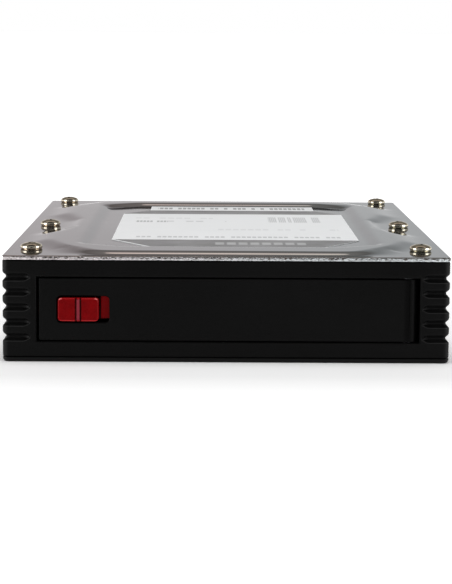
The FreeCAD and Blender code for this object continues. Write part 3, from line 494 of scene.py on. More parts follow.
labelLow, labelHigh = (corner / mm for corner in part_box("cover_label"))
labelSettings = {
    "sockets": {"Specular IOR Level": 0.3, "Coat Weight": 0.1, "Coat Roughness": 0.2},
    "paper": (0.84, 0.855, 0.86, 1.0),
    "field": (0.084, 0.084, 0.084, 1.0),
    "ink": (0.05, 0.05, 0.055, 1.0),
    "grain": {"Grain Size": 0.3, "Drift Size": 12.0},
    "rough": (0.3, 0.42),
    "bump": (0.05, 0.02),
    "fields": ((-1.0, 19.5), (87.6, 98.4)),  # grey fields, as lengths from the label's front edge
    "fieldSoft": 0.1,
    "edgeDepth": 0.03,
    "slant": (11.65, 19.5),  # the cut front corners: across, along
    "slantHighlight": (1.025, 1.05),  # painted highlight along the left one's cut edge, as a share of its lengths
    "rowSoft": (0.3, 0.2),  # along the label, across
    "bar": (0.1, 0.85, 0.1),  # start, end and softness, as a share of its length
    "rows": (
        # start and end along the label, left and right end, bar length, share left out,
        # darkness (pale below 0)
        (8.6, 13.6, -3.0, 19.2, 2.8, 0.05, -0.32),
        (24.6, 27.6, -23.4, 28.4, 1.3, 0.2, 0.45),
        (43.0, 46.6, -2.0, 29.0, 1.9, 0.3, 0.14),
        (64.0, 68.0, -23.5, -15.0, 0.9, 0.1, 0.6),
        (65.4, 67.8, -15.0, 0.5, 2.6, 0.3, 0.35),
        (64.6, 79.0, 11.8, 25.6, 0.5, 0.16, 0.4),
        (74.0, 76.4, -23.8, -3.0, 2.2, 0.3, 0.2),
        (102.0, 107.2, -18.5, 23.0, 1.3, 0.2, 0.7),
    ),
}


def plainBars(settings, x, along):
    # plain bars in rows: dark ones, and pale ones on a grey field
    softAlong, softAcross = settings["rowSoft"]
    ink, pale = 0.0, 0.0
    for number, (start, end, left, right, barLength, leftOut, dark) in enumerate(settings["rows"]):
        bars = over(x, barLength)
        place = vector(maths("FLOOR", bars), float(number), 0.0)
        chance = addNode(x.id_data, "ShaderNodeTexWhiteNoise", {"Vector": place}, noise_dimensions="2D")
        shown = maths("GREATER_THAN", chance["Value"], leftOut)
        bar = times(shown, between(maths("FRACT", bars), *settings["bar"]))
        row = times(between(along, start, end, softAlong), between(x, left, right, softAcross))
        mark = times(row, bar, abs(dark))
        if dark < 0:
            pale = maths("MAXIMUM", pale, mark)
        else:
            ink = maths("MAXIMUM", ink, mark)
    return ink, pale


def labelFinish():
    # white film with grey end fields and a white cut edge, and a painted highlight along the left slanted
    # corner
    settings = labelSettings
    material, tree, shader = newFinish("labelFilm", settings["sockets"])
    x, y, z = axes(millimetres(tree))
    along = minus(y, labelLow.y)
    ink, pale = plainBars(settings, x, along)
    fields = plus(*(between(along, *ends, settings["fieldSoft"]) for ends in settings["fields"]))
    depth = settings["edgeDepth"]
    film = span(z, labelHigh.z - depth, labelHigh.z - depth / 2)
    # a white band along the left slanted edge: painted highlight
    across, slantLength = settings["slant"]
    inside = plus(over(minus(x, labelLow.x), across), over(along, slantLength))
    film = times(film, span(inside, *settings["slantHighlight"]), minus(1.0, pale))
    base = mixColour(times(fields, film), settings["paper"], settings["field"])
    grain = useGroup(tree, grainGroup, settings["grain"])
    setSurface(shader, settings, mixColour(ink, base, settings["ink"]), grain["Drift"], grain["Height"])
    return material


boardSettings = {
    "sockets": {"Specular IOR Level": 0.5},
    "colours": ((0.008, 0.075, 0.03, 1.0), (0.02, 0.16, 0.06, 1.0)),  # bare board, over copper
    "grain": {"Drift Size": 8.0},
    "rough": (0.28, 0.4),
    "bump": (0.3, 0.03),
    "pitch": 1.27,
    "track": (0.3, 0.7, 0.1),  # start, end and softness, as a share of the pitch
    "patchScale": 0.12,
    "patchSpan": (0.45, 0.5),
}


def boardFinish():
    # solder mask over copper runs
    settings = boardSettings
    material, tree, shader = newFinish("boardGreen", settings["sockets"])
    place = millimetres(tree)
    lanes = maths("FRACT", over(axes(place)["X"], settings["pitch"]))
    patches = span(noise(place, settings["patchScale"]), *settings["patchSpan"])
    copper = times(between(lanes, *settings["track"]), patches)
    drift = useGroup(tree, grainGroup, settings["grain"])["Drift"]
    setSurface(shader, settings, mixColour(copper, *settings["colours"]), drift, copper)
    return material


capacitorLow, capacitorHigh = (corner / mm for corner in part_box("board_capacitors"))
capacitorSettings = {
    "tin": (0.6, 0.6, 0.58, 1.0),
    "fired": ((0.30, 0.21, 0.13, 1.0), (0.42, 0.31, 0.2, 1.0)),
    "grain": {"Grain Size": 0.3},
    "rough": (0.3, 0.45),
    "cap": (0.6, 0.05),  # length, softness
}


def capacitorFinish():
    # tinned ends on a fired body
    settings = capacitorSettings
    material, tree, shader = newFinish("capacitorCeramic", {})
    cap, soft = settings["cap"]
    body = between(axes(millimetres(tree))["Y"], capacitorLow.y + cap, capacitorHigh.y - cap, soft)
    grain = useGroup(tree, grainGroup, settings["grain"])
    fired = mixColour(grain["Grain"], *settings["fired"])
    feed(shader.inputs["Base Color"], mixColour(body, settings["tin"], fired))
    feed(shader.inputs["Metallic"], graded(body, 1.0, 0.0))
    feed(shader.inputs["Roughness"], graded(grain["Drift"], *settings["rough"]))
    return material


finishes = {
    "black_plastic": mouldedFinish("blackPlastic"),
    "black_plate": mouldedFinish("blackPlate"),
    "cover_metal": sheetFinish(),
    "label_film": labelFinish(),
    "nickel_screw": metalFinish("nickelScrew"),
    "black_screw": metalFinish("blackScrew"),
    "insert_brass": metalFinish("insertBrass"),
    "pin_steel": metalFinish("shadedPinSteel"),
    "red_plastic": redFinish(),
    "pad_rubber": mouldedFinish("padRubber"),
    "board_green": boardFinish(),
    "connector_black": mouldedFinish("connectorBlack"),
    "contact_gold": metalFinish("contactGold"),
    "capacitor_ceramic": capacitorFinish(),
}
for node, part in nodes.items():
    part.data.materials.clear()
    part.data.materials.append(finishes[slotOf[node]])
print("finishes made:", len(finishes))


# dressed copies of the solids: merged, edges broken, shading smoothed

def settle(holder, name):
    # modifiers become plain mesh
    bpy.context.view_layer.update()
    depsgraph = bpy.context.evaluated_depsgraph_get()
    mesh = bpy.data.meshes.new_from_object(holder.evaluated_get(depsgraph), depsgraph=depsgraph)
    piece = addObject(name, mesh)
    bpy.data.objects.remove(holder)
    return piece


def standFor(piece, node):
    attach(piece, bodyOf[node])
    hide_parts(node)
    return piece


def finishMesh(mesh, node, sharp):
    mesh.shade_smooth()
    mesh.set_sharp_from_angle(angle=math.radians(sharp))
    mesh.materials.append(finishes[slotOf[node]])


edgeSettings = {
    # node: width of the broken edge in mm, smallest angle that is broken, facets across it, share of the
    # painted highlight on its up-facing edges
    "main_frame": (0.12, 40, 3, 1.0),
    "bottom_plate": (0.12, 50, 2, 0.2),
    "front_door": (0.2, 50, 3, 0.1),
    "latch_slider": (0.12, 30, 3, 0.0),
    "latch_retainer": (0.12, 50, 2, 0.5),
    "door_pad": (0.35, 50, 3, 0.5),
    "backplane_board": (0.08, 50, 2, 0.0),
    "drive_socket": (0.12, 50, 2, 0.5),
    "host_plug": (0.12, 50, 2, 0.5),
    "latch_spring": (0.04, 50, 2, 0.0),
    "door_hinge_pin": (0.15, 50, 2, 0.0),
    "cover_label": (0.03, 50, 2, 0.0),
}
dressSettings = {
    "merge": 0.002,
    "flat": 0.5,  # faces that bend less become one, in degrees
    "sharp": 28,  # edges that bend more stay sharp in the shading
    "rim": 0.05,  # edges this near the top belong to the rim under the lid
    "highlightBelow": 0.5,  # nearer the top than this, no edge gets the painted highlight
    "highlightTilt": 2.0,  # how fast the painted highlight grows as a face turns up
    "hingeStart": 39.6,  # the door's round edge beyond this stays as it is
}
ribSettings = {
    "lip": 0.34,  # the finger ribs and the rim under the lid are rounded more than other edges
    "rampStart": 46.1,  # nearer the middle than this, a groove runs out on its ramp
    "slope": (0.6, 0.85),
    "upright": 0.02,
}


def isRibLip(edge):
    # where the upper slope of a finger groove, which faces down, meets the outer wall
    wall, slope = sorted((face.normal.z for face in edge.link_faces), key=abs)
    low, high = ribSettings["slope"]
    middle = (edge.verts[0].co + edge.verts[1].co) / 2
    isOutside = abs(middle.x) > ribSettings["rampStart"] * mm
    return abs(wall) < ribSettings["upright"] and low < -slope < high and isOutside


def markPaintedEdgeHighlights(mesh, highlightShare):
    # broken edges that face up, found by their second slot, become a mask for a painted highlight, and the
    # slot goes
    mask = mesh.attributes.new("wornEdge", "FLOAT", "FACE")
    covered = max(vert.co.z for vert in mesh.vertices) - dressSettings["highlightBelow"] * mm
    for polygon in mesh.polygons:
        tilt = min(max(polygon.normal.z * dressSettings["highlightTilt"], 0.0), 1.0)
        seen = tilt if polygon.center.z < covered else 0.0
        mask.data[polygon.index].value = highlightShare * seen * polygon.material_index
        polygon.material_index = 0
    mesh.materials.pop()


def dressCopy(node):
    settings = dressSettings
    width, angle, facets, highlightShare = edgeSettings[node]
    widest = max(width, ribSettings["lip"]) if node == "main_frame" else width
    mesh = nodes[node].data.copy()
    form = bmesh.new()
    form.from_mesh(mesh)
    bmesh.ops.remove_doubles(form, verts=form.verts, dist=settings["merge"] * mm)
    flat = math.radians(settings["flat"])
    bmesh.ops.dissolve_limit(form, angle_limit=flat, verts=form.verts, edges=form.edges)
    form.normal_update()
    weights = form.edges.layers.float.new("bevel_weight_edge")
    top = max(vert.co.z for vert in form.verts) - settings["rim"] * mm
    for edge in form.edges:
        if not edge.is_convex or edge.calc_face_angle(0.0) < math.radians(angle):
            continue
        if node == "front_door" and edge.verts[0].co.x > settings["hingeStart"] * mm:
            continue
        isTop = min(vert.co.z for vert in edge.verts) > top
        isLip = node == "main_frame" and (isTop or isRibLip(edge))
        edge[weights] = 1.0 if isLip else width / widest
    form.to_mesh(mesh)
    form.free()
    finishMesh(mesh, node, settings["sharp"])
    holder = addObject(f"{node}_work", mesh)
    bevel = holder.modifiers.new("brokenEdge", "BEVEL")
    bevel.width = widest * mm
    bevel.segments = facets
    bevel.limit_method = "WEIGHT"
    bevel.material = 1
    bevel.use_clamp_overlap = False
    weighted = holder.modifiers.new("evenShade", "WEIGHTED_NORMAL")
    weighted.keep_sharp = True
    piece = settle(holder, f"{node}_dressed")
    markPaintedEdgeHighlights(piece.data, highlightShare)
    standFor(piece, node)


for node in edgeSettings:
    dressCopy(node)
print("solids dressed:", len(edgeSettings))


# pressed lid: the solid's height, drawn softer where the sheet was stretched over the corners

lidSettings = {
    "edgeRound": 0.3,
    "edgeFacets": 4,
    "lip": 0.06,  # flat strip that keeps the face flat up to its edge
    "cornerRound": 0.8,
    "stepAcross": 0.8,
    "stepAlong": 0.9,
    "fineStep": 0.2,
    "fineBands": ((0.0, 5.5), (124.0, 131.5)),  # walls that face the door, as depths from the front
    "soft": 1.9,
    "softFrom": (27.5, 36.0),  # from the middle outwards
    "softRings": ((0.6, 6), (1.2, 8), (1.8, 10)),  # places that are averaged: ring, spokes
    "ringWeight": 13.2,
    "cornerDraw": (5.0, 35.5, 4.5),  # front corners drawn in: how far, where, over what width
    "cornerDrawEnd": (9.0, 4.0, 2.2),  # depth of its fade, over what depth, how much later outwards
    "panel": ((-37.0, 38.5), (11.0, 121.5)),  # the label panel stays crisp
    "panelFade": 3.0,
    "thinnest": 0.4,
    "clear": 1.0,  # rays at the solid start this far outside
    "sharp": 50,
}


def stepsBetween(low, high, step, lip):
    count = round((high - low - 2 * lip) / step)
    inner = [low + lip + (high - low - 2 * lip) * number / count for number in range(count + 1)]
    return [low, *inner, high]


def depthSteps(settings, length):
    edge, lip = settings["edgeRound"], settings["lip"]
    depths = [edge, edge + lip]
    while depths[-1] < length - edge - lip:
        fine = any(low <= depths[-1] < high for low, high in settings["fineBands"])
        depths.append(depths[-1] + settings["fineStep" if fine else "stepAlong"])
    return [*depths[:-1], length - edge - lip, length - edge]


def ramp(value, low, high):
    return min(max((value - low) / (high - low), 0.0), 1.0)


def softness(settings, x, depth):
    (left, right), (near, far) = settings["panel"]
    outside = max(left - x, x - right, near - depth, depth - far)
    return settings["soft"] * ramp(abs(x), *settings["softFrom"]) * ramp(outside, 0.0, settings["panelFade"])


def cornerDraw(settings, x, depth):
    far, where, width = settings["cornerDraw"]
    fadeStart, fadeLength, later = settings["cornerDrawEnd"]
    outwards = abs(x) - where
    fadeStart += later * max(outwards, 0.0)
    return far * math.exp(-(outwards / width) ** 2) * (1 - ramp(depth, fadeStart, fadeStart + fadeLength))


def lidHeights(settings, low, high):
    # two functions of a place: height of the pressed face, height of the underside
    solid = nodes["top_cover"].data
    solidTree = BVHTree.FromPolygons([vert.co / mm for vert in solid.vertices],
                                     [tuple(polygon.vertices) for polygon in solid.polygons])

    def upper(x, y):
        hit = solidTree.ray_cast(Vector((x, y, high.z + settings["clear"])), -up)[0]
        return hit.z if hit and hit.z > coverFace else coverFace

    def lower(x, y):
        hit = solidTree.ray_cast(Vector((x, y, low.z - settings["clear"])), up)[0]
        return hit.z if hit else low.z

    def drawn(x, y):
        y -= cornerDraw(settings, x, y - low.y)
        reach = softness(settings, x, y - low.y)
        if reach == 0.0:
            return upper(x, y)
        total, weights = upper(x, y), 1.0
        for ring, spokes in settings["softRings"]:
            weight = math.exp(-ring * ring / 2) * settings["ringWeight"] * ring / spokes
            for spoke in range(spokes):
                turn = math.tau * (spoke + ring) / spokes
                total += weight * upper(x + reach * ring * math.cos(turn), y + reach * ring * math.sin(turn))
                weights += weight
        return total / weights

    return drawn, lower


def lidOutline(columns, rows):
    # border vertices, anticlockwise from above, with the way out at each
    last = columns * rows - 1
    outline = [(j, (0, -1)) for j in range(columns - 1)]
    outline += [(i * columns + columns - 1, (1, 0)) for i in range(rows - 1)]
    outline += [((rows - 1) * columns + j, (0, 1)) for j in range(columns - 1, 0, -1)]
    outline += [(i * columns, (-1, 0)) for i in range(rows - 1, 0, -1)]
    corners = {0: (-1, -1), columns - 1: (1, -1), last: (1, 1), last + 1 - columns: (-1, 1)}
    return [(spot, Vector((*corners.get(spot, way), 0)).normalized()) for spot, way in outline]


def edgeProfile(settings, bottom):
    # rounded edge from face to underside: how far out, and the height
    edge, facets = settings["edgeRound"], settings["edgeFacets"]
    turns = [math.pi / 2 * number / facets for number in range(1, facets + 1)]
    profile = [(edge * math.sin(turn), coverFace - edge * (1 - math.cos(turn))) for turn in turns]
    back = [turn - turns[0] for turn in turns]
    return profile + [(edge * math.cos(turn), bottom + edge * (1 - math.sin(turn))) for turn in back]


def makeLid():
    settings = lidSettings
    low, high = (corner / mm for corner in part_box("top_cover"))
    drawn, lower = lidHeights(settings, low, high)
    edge = settings["edgeRound"]
    xs = stepsBetween(low.x + edge, high.x - edge, settings["stepAcross"], settings["lip"])
    ys = [low.y + depth for depth in depthSteps(settings, high.y - low.y)]
    columns, rows = len(xs), len(ys)
    cornerPull = (settings["cornerRound"] - edge) * (1 - math.sqrt(0.5))
    tops, bottoms = [], []
    for i, y in enumerate(ys):
        for j, x in enumerate(xs):
            top = drawn(x, y)
            atCorner = i in (0, rows - 1) and j in (0, columns - 1)
            pull = cornerPull if atCorner else 0.0
            spot = (x - math.copysign(pull, x), y - math.copysign(pull, y))
            tops.append(Vector((*spot, top)))
            bottoms.append(Vector((*spot, min(lower(x, y), top - settings["thinnest"]))))
    verts = tops + bottoms
    count = len(tops)
    faces = []
    for i in range(rows - 1):
        for j in range(columns - 1):
            near, far = i * columns + j, (i + 1) * columns + j
            faces.append((near, near + 1, far + 1, far))
            faces.append((count + near, count + far, count + far + 1, count + near + 1))
    outline = lidOutline(columns, rows)
    rings = [[spot for spot, outward in outline]]
    for out, z in edgeProfile(settings, low.z):
        rings.append(list(range(len(verts), len(verts) + len(outline))))
        for spot, outward in outline:
            place = tops[spot] + outward * out
            verts.append(Vector((place.x, place.y, z)))
    rings.append([count + spot for spot, outward in outline])
    for ring, below in zip(rings, rings[1:]):
        for number in range(len(ring)):
            after = (number + 1) % len(ring)
            faces.append((ring[number], below[number], below[after], ring[after]))
    mesh = bpy.data.meshes.new("top_cover_pressed")
    mesh.from_pydata([vert * mm for vert in verts], [], faces)
    finishMesh(mesh, "top_cover", settings["sharp"])
    standFor(addObject("top_cover_pressed", mesh), "top_cover")


makeLid()
print("lid pressed")


# repeated pieces: their settings are the inputs of a node tree

def newGeometryTree(name, settings):
    tree = bpy.data.node_groups.new(name, "GeometryNodeTree")
    numbers = {label: "Float" for label in (*settings, "Most Turn")}
    kinds = {"Spots": "Geometry", **numbers, "Seed": "Int", "Finish": "Material"}
    for label, kind in kinds.items():
        tree.interface.new_socket(label, in_out="INPUT", socket_type=f"NodeSocket{kind}")
    tree.interface.new_socket("Pieces", in_out="OUTPUT", socket_type="NodeSocketGeometry")
    return tree, addNode(tree, "NodeGroupInput"), tree.nodes.new("NodeGroupOutput").inputs[0]


def joined(*parts):
    return addNode(parts[0].id_data, "GeometryNodeJoinGeometry", {0: list(parts)})[0]


def moved(part, x, y, z):
    inputs = {"Geometry": part, "Translation": vector(x, y, z)}
    return addNode(part.id_data, "GeometryNodeTransform", inputs)[0]


def block(x, y, z):
    size = vector(x, y, z)
    return addNode(size.id_data, "GeometryNodeMeshCube", {"Size": size})["Mesh"]


def rod(tree, sides, rings, radius, depth):
    inputs = {"Vertices": sides, "Side Segments": rings, "Radius": radius, "Depth": depth}
    return addNode(tree, "GeometryNodeMeshCylinder", inputs)["Mesh"]


def softShade(part, angle):
    tree = part.id_data
    bend = addNode(tree, "GeometryNodeInputMeshEdgeAngle")["Unsigned Angle"]
    smooth = addNode(tree, "GeometryNodeSetShadeSmooth", {"Geometry": part})[0]
    inputs = {"Geometry": smooth, "Shade Smooth": maths("LESS_THAN", bend, math.radians(angle))}
    return addNode(tree, "GeometryNodeSetShadeSmooth", inputs, domain="EDGE")[0]


def spread(start, end, piece):
    # one copy on each spot, its Z turned to the spot's aim, with a random turn about it
    tree = end.id_data
    aim = addNode(tree, "GeometryNodeInputNamedAttribute", {"Name": "aim"}, data_type="FLOAT_VECTOR")
    facing = addNode(tree, "FunctionNodeAlignRotationToVector", {"Vector": aim["Attribute"]}, axis="Z")
    turns = {2: 0.0, 3: start["Most Turn"], "Seed": start["Seed"]}
    turn = addNode(tree, "FunctionNodeRandomValue", turns, data_type="FLOAT")
    inputs = {"Points": start["Spots"], "Instance": piece, "Rotation": facing[0]}
    copies = addNode(tree, "GeometryNodeInstanceOnPoints", inputs)
    inputs = {"Instances": copies[0], "Rotation": vector(0.0, 0.0, turn[1]), "Local Space": True}
    turned = addNode(tree, "GeometryNodeRotateInstances", inputs)
    real = addNode(tree, "GeometryNodeRealizeInstances", {0: turned[0]})
    inputs = {"Geometry": real[0], "Material": start["Finish"]}
    feed(end, addNode(tree, "GeometryNodeSetMaterial", inputs)[0])


bevelSettings = {"facets": 2, "angle": 40}


def growPieces(name, tree, spots, values, edge):
    # spots: (place in metres, direction that the piece's top faces); edge: width of its broken edges
    mesh = bpy.data.meshes.new(f"{name}_spots")
    mesh.from_pydata([place for place, aim in spots], [], [])
    aims = mesh.attributes.new("aim", "FLOAT_VECTOR", "POINT")
    for number, (place, aim) in enumerate(spots):
        aims.data[number].vector = aim
    holder = addObject(f"{name}_work", mesh)
    modifier = holder.modifiers.new("grow", "NODES")
    modifier.node_group = tree
    for socket in tree.interface.items_tree:
        if socket.in_out == "INPUT" and socket.name in values:
            modifier[socket.identifier] = values[socket.name]
    if edge:
        bevel = holder.modifiers.new("brokenEdge", "BEVEL")
        bevel.width = edge * mm
        bevel.segments = bevelSettings["facets"]
        bevel.angle_limit = math.radians(bevelSettings["angle"])
        bevel.use_clamp_overlap = True
    piece = settle(holder, name)
    if "aim" in piece.data.attributes:
        piece.data.attributes.remove(piece.data.attributes["aim"])
    return piece


def solidBoxes(node):
    # box of each separate solid in a CAD node
    form = bmesh.new()
    form.from_mesh(nodes[node].data)
    bmesh.ops.remove_doubles(form, verts=form.verts, dist=dressSettings["merge"] * mm)
    seen = set()
    boxes = []
    for first in form.verts:
        if first in seen:
            continue
        island = [first]
        seen.add(first)
        for vert in island:
            for edge in vert.link_edges:
                other = edge.other_vert(vert)
                if other not in seen:
                    seen.add(other)
                    island.append(other)
        low = Vector(min(vert.co[axis] for vert in island) for axis in range(3))
        high = Vector(max(vert.co[axis] for vert in island) for axis in range(3))
        boxes.append((low, high))
    form.free()
    return boxes


def valuesFor(node, settings):
    # lengths in metres, and the node's finish
    plain = ("Most Turn", "Seed", "Turns")
    values = {label: value if label in plain else value * mm for label, value in settings.items()}
    return {**values, "Finish": finishes[slotOf[node]]}


def growMiddles(node, ending, tree, settings, edge, aim=up):
    # one piece in the middle of each solid
    spots = [((low + high) / 2, aim) for low, high in solidBoxes(node)]
    return growPieces(f"{node}_{ending}", tree, spots, valuesFor(node, settings), edge)


screwSettings = {
    "cover_screws": {
        "Head Radius": 2.55, "Rim Height": 0.6, "Crown Height": 0.99, "Sink": 0.0,
        "Recess Length": 2.3, "Recess Width": 0.55, "Recess Depth": 0.8,
        "Shank Radius": 1.2, "Shank Length": 7.0, "Most Turn": 1.5, "Seed": 4,
    },
    "base_screws": {
        "Head Radius": 2.12, "Rim Height": 0.11, "Crown Height": 0.02, "Sink": 0.86,
        "Recess Length": 2.4, "Recess Width": 0.6, "Recess Depth": 0.6,
        "Shank Radius": 1.2, "Shank Length": 5.2, "Most Turn": 1.5, "Seed": 7,
    },
    "board_screws": {
        "Head Radius": 1.7, "Rim Height": 0.5, "Crown Height": 0.69, "Sink": 0.0,
        "Recess Length": 1.7, "Recess Width": 0.42, "Recess Depth": 0.6,
        "Shank Radius": 0.88, "Shank Length": 3.3, "Most Turn": 1.5, "Seed": 2,
    },
    "retainer_screws": {
        "Head Radius": 1.28, "Rim Height": 0.3, "Crown Height": 0.39, "Sink": 0.0,
        "Recess Length": 1.3, "Recess Width": 0.32, "Recess Depth": 0.4,
        "Shank Radius": 0.58, "Shank Length": 3.1, "Most Turn": 1.5, "Seed": 9,
    },
}
screwForm = {
    # the head is a unit cylinder: its lower quarter is the upright rim, and the rest bends to a crown
    "head": (48, 16),  # sides, rings
    "rim": (-0.5, -0.25),
    "crown": (-0.25, 0.5, 0.0, math.radians(84)),
    "under": (-0.5, -0.4, 0.9, 1.0),  # drawn in at the foot
    "shank": (24, 1),
    "softAngle": 35,
    "edge": 0.07,
}
screwAims = {
    "cover_screws": up,
    "base_screws": -up,
    "board_screws": up,
    "retainer_screws": Vector((0.0, 1.0, 0.0)),
}


def makeScrewTree():
    form = screwForm
    tree, start, end = newGeometryTree("crossHeadScrews", screwSettings["cover_screws"])
    sides, rings = form["head"]
    x, y, z = axes(addNode(tree, "GeometryNodeInputPosition")[0])
    bend = span(z, *form["crown"])
    out = times(start["Head Radius"], times(maths("COSINE", bend), span(z, *form["under"])))
    rim = times(start["Rim Height"], span(z, *form["rim"]))
    rise = plus(rim, times(start["Crown Height"], maths("SINE", bend)))
    place = vector(times(x, out), times(y, out), rise)
    inputs = {"Geometry": rod(tree, sides, rings, 1.0, 1.0), "Position": place}
    dome = addNode(tree, "GeometryNodeSetPosition", inputs)[0]
    # seat cone below a sunk head
    sink = start["Sink"]
    inputs = {"Vertices": sides, "Radius Top": start["Head Radius"],
              "Radius Bottom": start["Shank Radius"], "Depth": sink}
    cone = moved(addNode(tree, "GeometryNodeMeshCone", inputs)["Mesh"], 0.0, 0.0, times(sink, -1.0))
    inputs = {"Switch": maths("GREATER_THAN", sink, 0.0), "True": cone}
    seat = addNode(tree, "GeometryNodeSwitch", inputs, input_type="GEOMETRY")[0]
    # cross recess
    length, width = start["Recess Length"], start["Recess Width"]
    deep = times(start["Recess Depth"], 2.0)
    top = plus(start["Rim Height"], start["Crown Height"])
    arms = [moved(block(*size, deep), 0.0, 0.0, top) for size in ((length, width), (width, length))]
    inputs = {"Mesh 1": dome, "Mesh 2": arms}
    head = addNode(tree, "GeometryNodeMeshBoolean", inputs, operation="DIFFERENCE", solver="EXACT")["Mesh"]
    shank = rod(tree, *form["shank"], start["Shank Radius"], start["Shank Length"])
    shank = moved(shank, 0.0, 0.0, times(start["Shank Length"], -0.5))
    spread(start, end, softShade(joined(head, seat, shank), form["softAngle"]))
    return tree


def makeScrews(node, aim):
    # the head's top meets the end of the solid that the aim points to
    settings = screwSettings[node]
    height = (settings["Rim Height"] + settings["Crown Height"]) * mm
    spots = []
    for low, high in solidBoxes(node):
        reach = Vector((high - low)[axis] / 2 * aim[axis] for axis in range(3))
        spots.append(((low + high) / 2 + reach - aim * height, aim))
    piece = growPieces(f"{node}_turned", screwTree, spots, valuesFor(node, settings), screwForm["edge"])
    standFor(piece, node)


screwTree = makeScrewTree()
for node, aim in screwAims.items():
    makeScrews(node, aim)
print("screws made")


contactSettings = {
    "drive_socket_contacts": {"Width": 0.6, "Length": 5.5, "Thickness": 0.2, "Lead": 0.2},
    "host_plug_contacts": {"Width": 0.6, "Length": 6.5, "Thickness": 0.2, "Lead": 0.2},
}
chipSettings = {"Width": 1.6, "Length": 3.2, "Height": 1.3, "Cap": 0.6, "Step": 0.08}
threadSettings = {
    "Bore Radius": 1.42, "Length": 3.4, "Ridge": 0.16, "Turns": 4.3, "Most Turn": 6.0, "Seed": 3,
}
threadAims = {"side_inserts": Vector((1.0, 0.0, 0.0)), "base_inserts": up}
smallForm = {
    "footShare": 0.6,  # thickness of a contact's foot, as a share of the strip
    "contactEdge": 0.05,
    "chipEdge": 0.06,
    "threadSteps": 28,  # for each turn
    "threadSides": 4,
}


def makeStripTree():
    # a flat strip on a narrower foot
    tree, start, end = newGeometryTree("contactStrips", contactSettings["host_plug_contacts"])
    body = block(start["Width"], start["Length"], start["Thickness"])
    low = times(start["Thickness"], smallForm["footShare"])
    foot = block(minus(start["Width"], start["Lead"]), start["Length"], low)
    spread(start, end, joined(body, foot))
    return tree


def makeChipTree():
    # a ceramic body between two tinned caps
    tree, start, end = newGeometryTree("chipCapacitors", chipSettings)
    short = minus(start["Length"], start["Cap"])
    body = block(minus(start["Width"], start["Step"]), short, minus(start["Height"], start["Step"]))
    cap = block(start["Width"], start["Cap"], start["Height"])
    half = over(short, 2.0)
    caps = [moved(cap, 0.0, away, 0.0) for away in (times(half, -1.0), half)]
    spread(start, end, joined(body, *caps))
    return tree


def makeThreadTree():
    # the ridge of a thread, wound round the inside of a bore
    tree, start, end = newGeometryTree("boreThreads", threadSettings)
    radius, length = start["Bore Radius"], start["Length"]
    inputs = {"Resolution": smallForm["threadSteps"], "Rotations": start["Turns"],
              "Start Radius": radius, "End Radius": radius, "Height": length}
    helix = addNode(tree, "GeometryNodeCurveSpiral", inputs)[0]
    inputs = {"Resolution": smallForm["threadSides"], "Radius": start["Ridge"]}
    profile = addNode(tree, "GeometryNodeCurvePrimitiveCircle", inputs)[0]
    inputs = {"Curve": helix, "Profile Curve": profile, "Fill Caps": True}
    ridge = addNode(tree, "GeometryNodeCurveToMesh", inputs)[0]
    spread(start, end, moved(ridge, 0.0, 0.0, over(length, -2.0)))
    return tree


stripTree = makeStripTree()
for node, settings in contactSettings.items():
    standFor(growMiddles(node, "set", stripTree, settings, smallForm["contactEdge"]), node)
chips = growMiddles("board_capacitors", "set", makeChipTree(), chipSettings, smallForm["chipEdge"])
standFor(chips, "board_capacitors")
print("contacts and chips made")

threadTree = makeThreadTree()
for node, aim in threadAims.items():
    piece = growMiddles(node, "threads", threadTree, threadSettings, 0.0, aim)
    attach(piece, bodyOf[node])
print("threads made")


# stage: floor, light and camera

floorSettings = {
    "sockets": {"Roughness": 0.7, "Specular IOR Level": 0.1, "Emission Strength": 1.0},
    "reach": 30.0,
    "paper": 0.9,
    "unlit": 0.3,  # as mirrored from the dark front of the room
    "unlitFrom": (-0.24, -0.1),
    "unlitWide": (0.1, 0.18),
    "lift": 0.05,  # own light near the object, so that the shadow shows
    "liftBeside": (0.3, (0.0, 0.005)),
    "liftApart": (0.3, (0.018, 0.06)),
    "liftFar": (0.6, (0.1, 0.7)),
}


def makeFloor():
    settings = floorSettings
    mesh = bpy.data.meshes.new("floor")
    reach = settings["reach"]
    corners = [(-reach, -reach, 0), (reach, -reach, 0), (reach, reach, 0), (-reach, reach, 0)]
    mesh.from_pydata(corners, [], [(0, 1, 2, 3)])
    floor = addObject("floor", mesh)
    material, tree, shader = newFinish("floorPaper", settings["sockets"])
    rays = addNode(tree, "ShaderNodeLightPath")
    x, y, z = axes(addNode(tree, "ShaderNodeTexCoord")["Object"])
    away = maths("ABSOLUTE", x)
    unlit = times(fade(y, *settings["unlitFrom"]), fade(away, *settings["unlitWide"]))
    dim = times(unlit, rays["Is Glossy Ray"])
    feed(shader.inputs["Base Color"], mixColour(dim, grey(settings["paper"]), grey(settings["unlit"])))
    seen = plus(rays["Is Camera Ray"], rays["Is Glossy Ray"])
    shown = maths("SUBTRACT", seen, dim, clamp=True)
    low, high = cadBox
    sideways = minus(away, high[0])
    apart = maths("MAXIMUM", sideways, minus(maths("ABSOLUTE", y), high[1]))
    lift = settings["lift"]
    for name, distance in (("liftBeside", sideways), ("liftApart", apart), ("liftFar", apart)):
        amount, ends = settings[name]
        lift = plus(lift, span(distance, *ends, 0.0, amount))
    feed(shader.inputs["Emission Color"], mixColour(times(lift, shown), grey(0.0), grey(1.0)))
    mesh.materials.append(material)


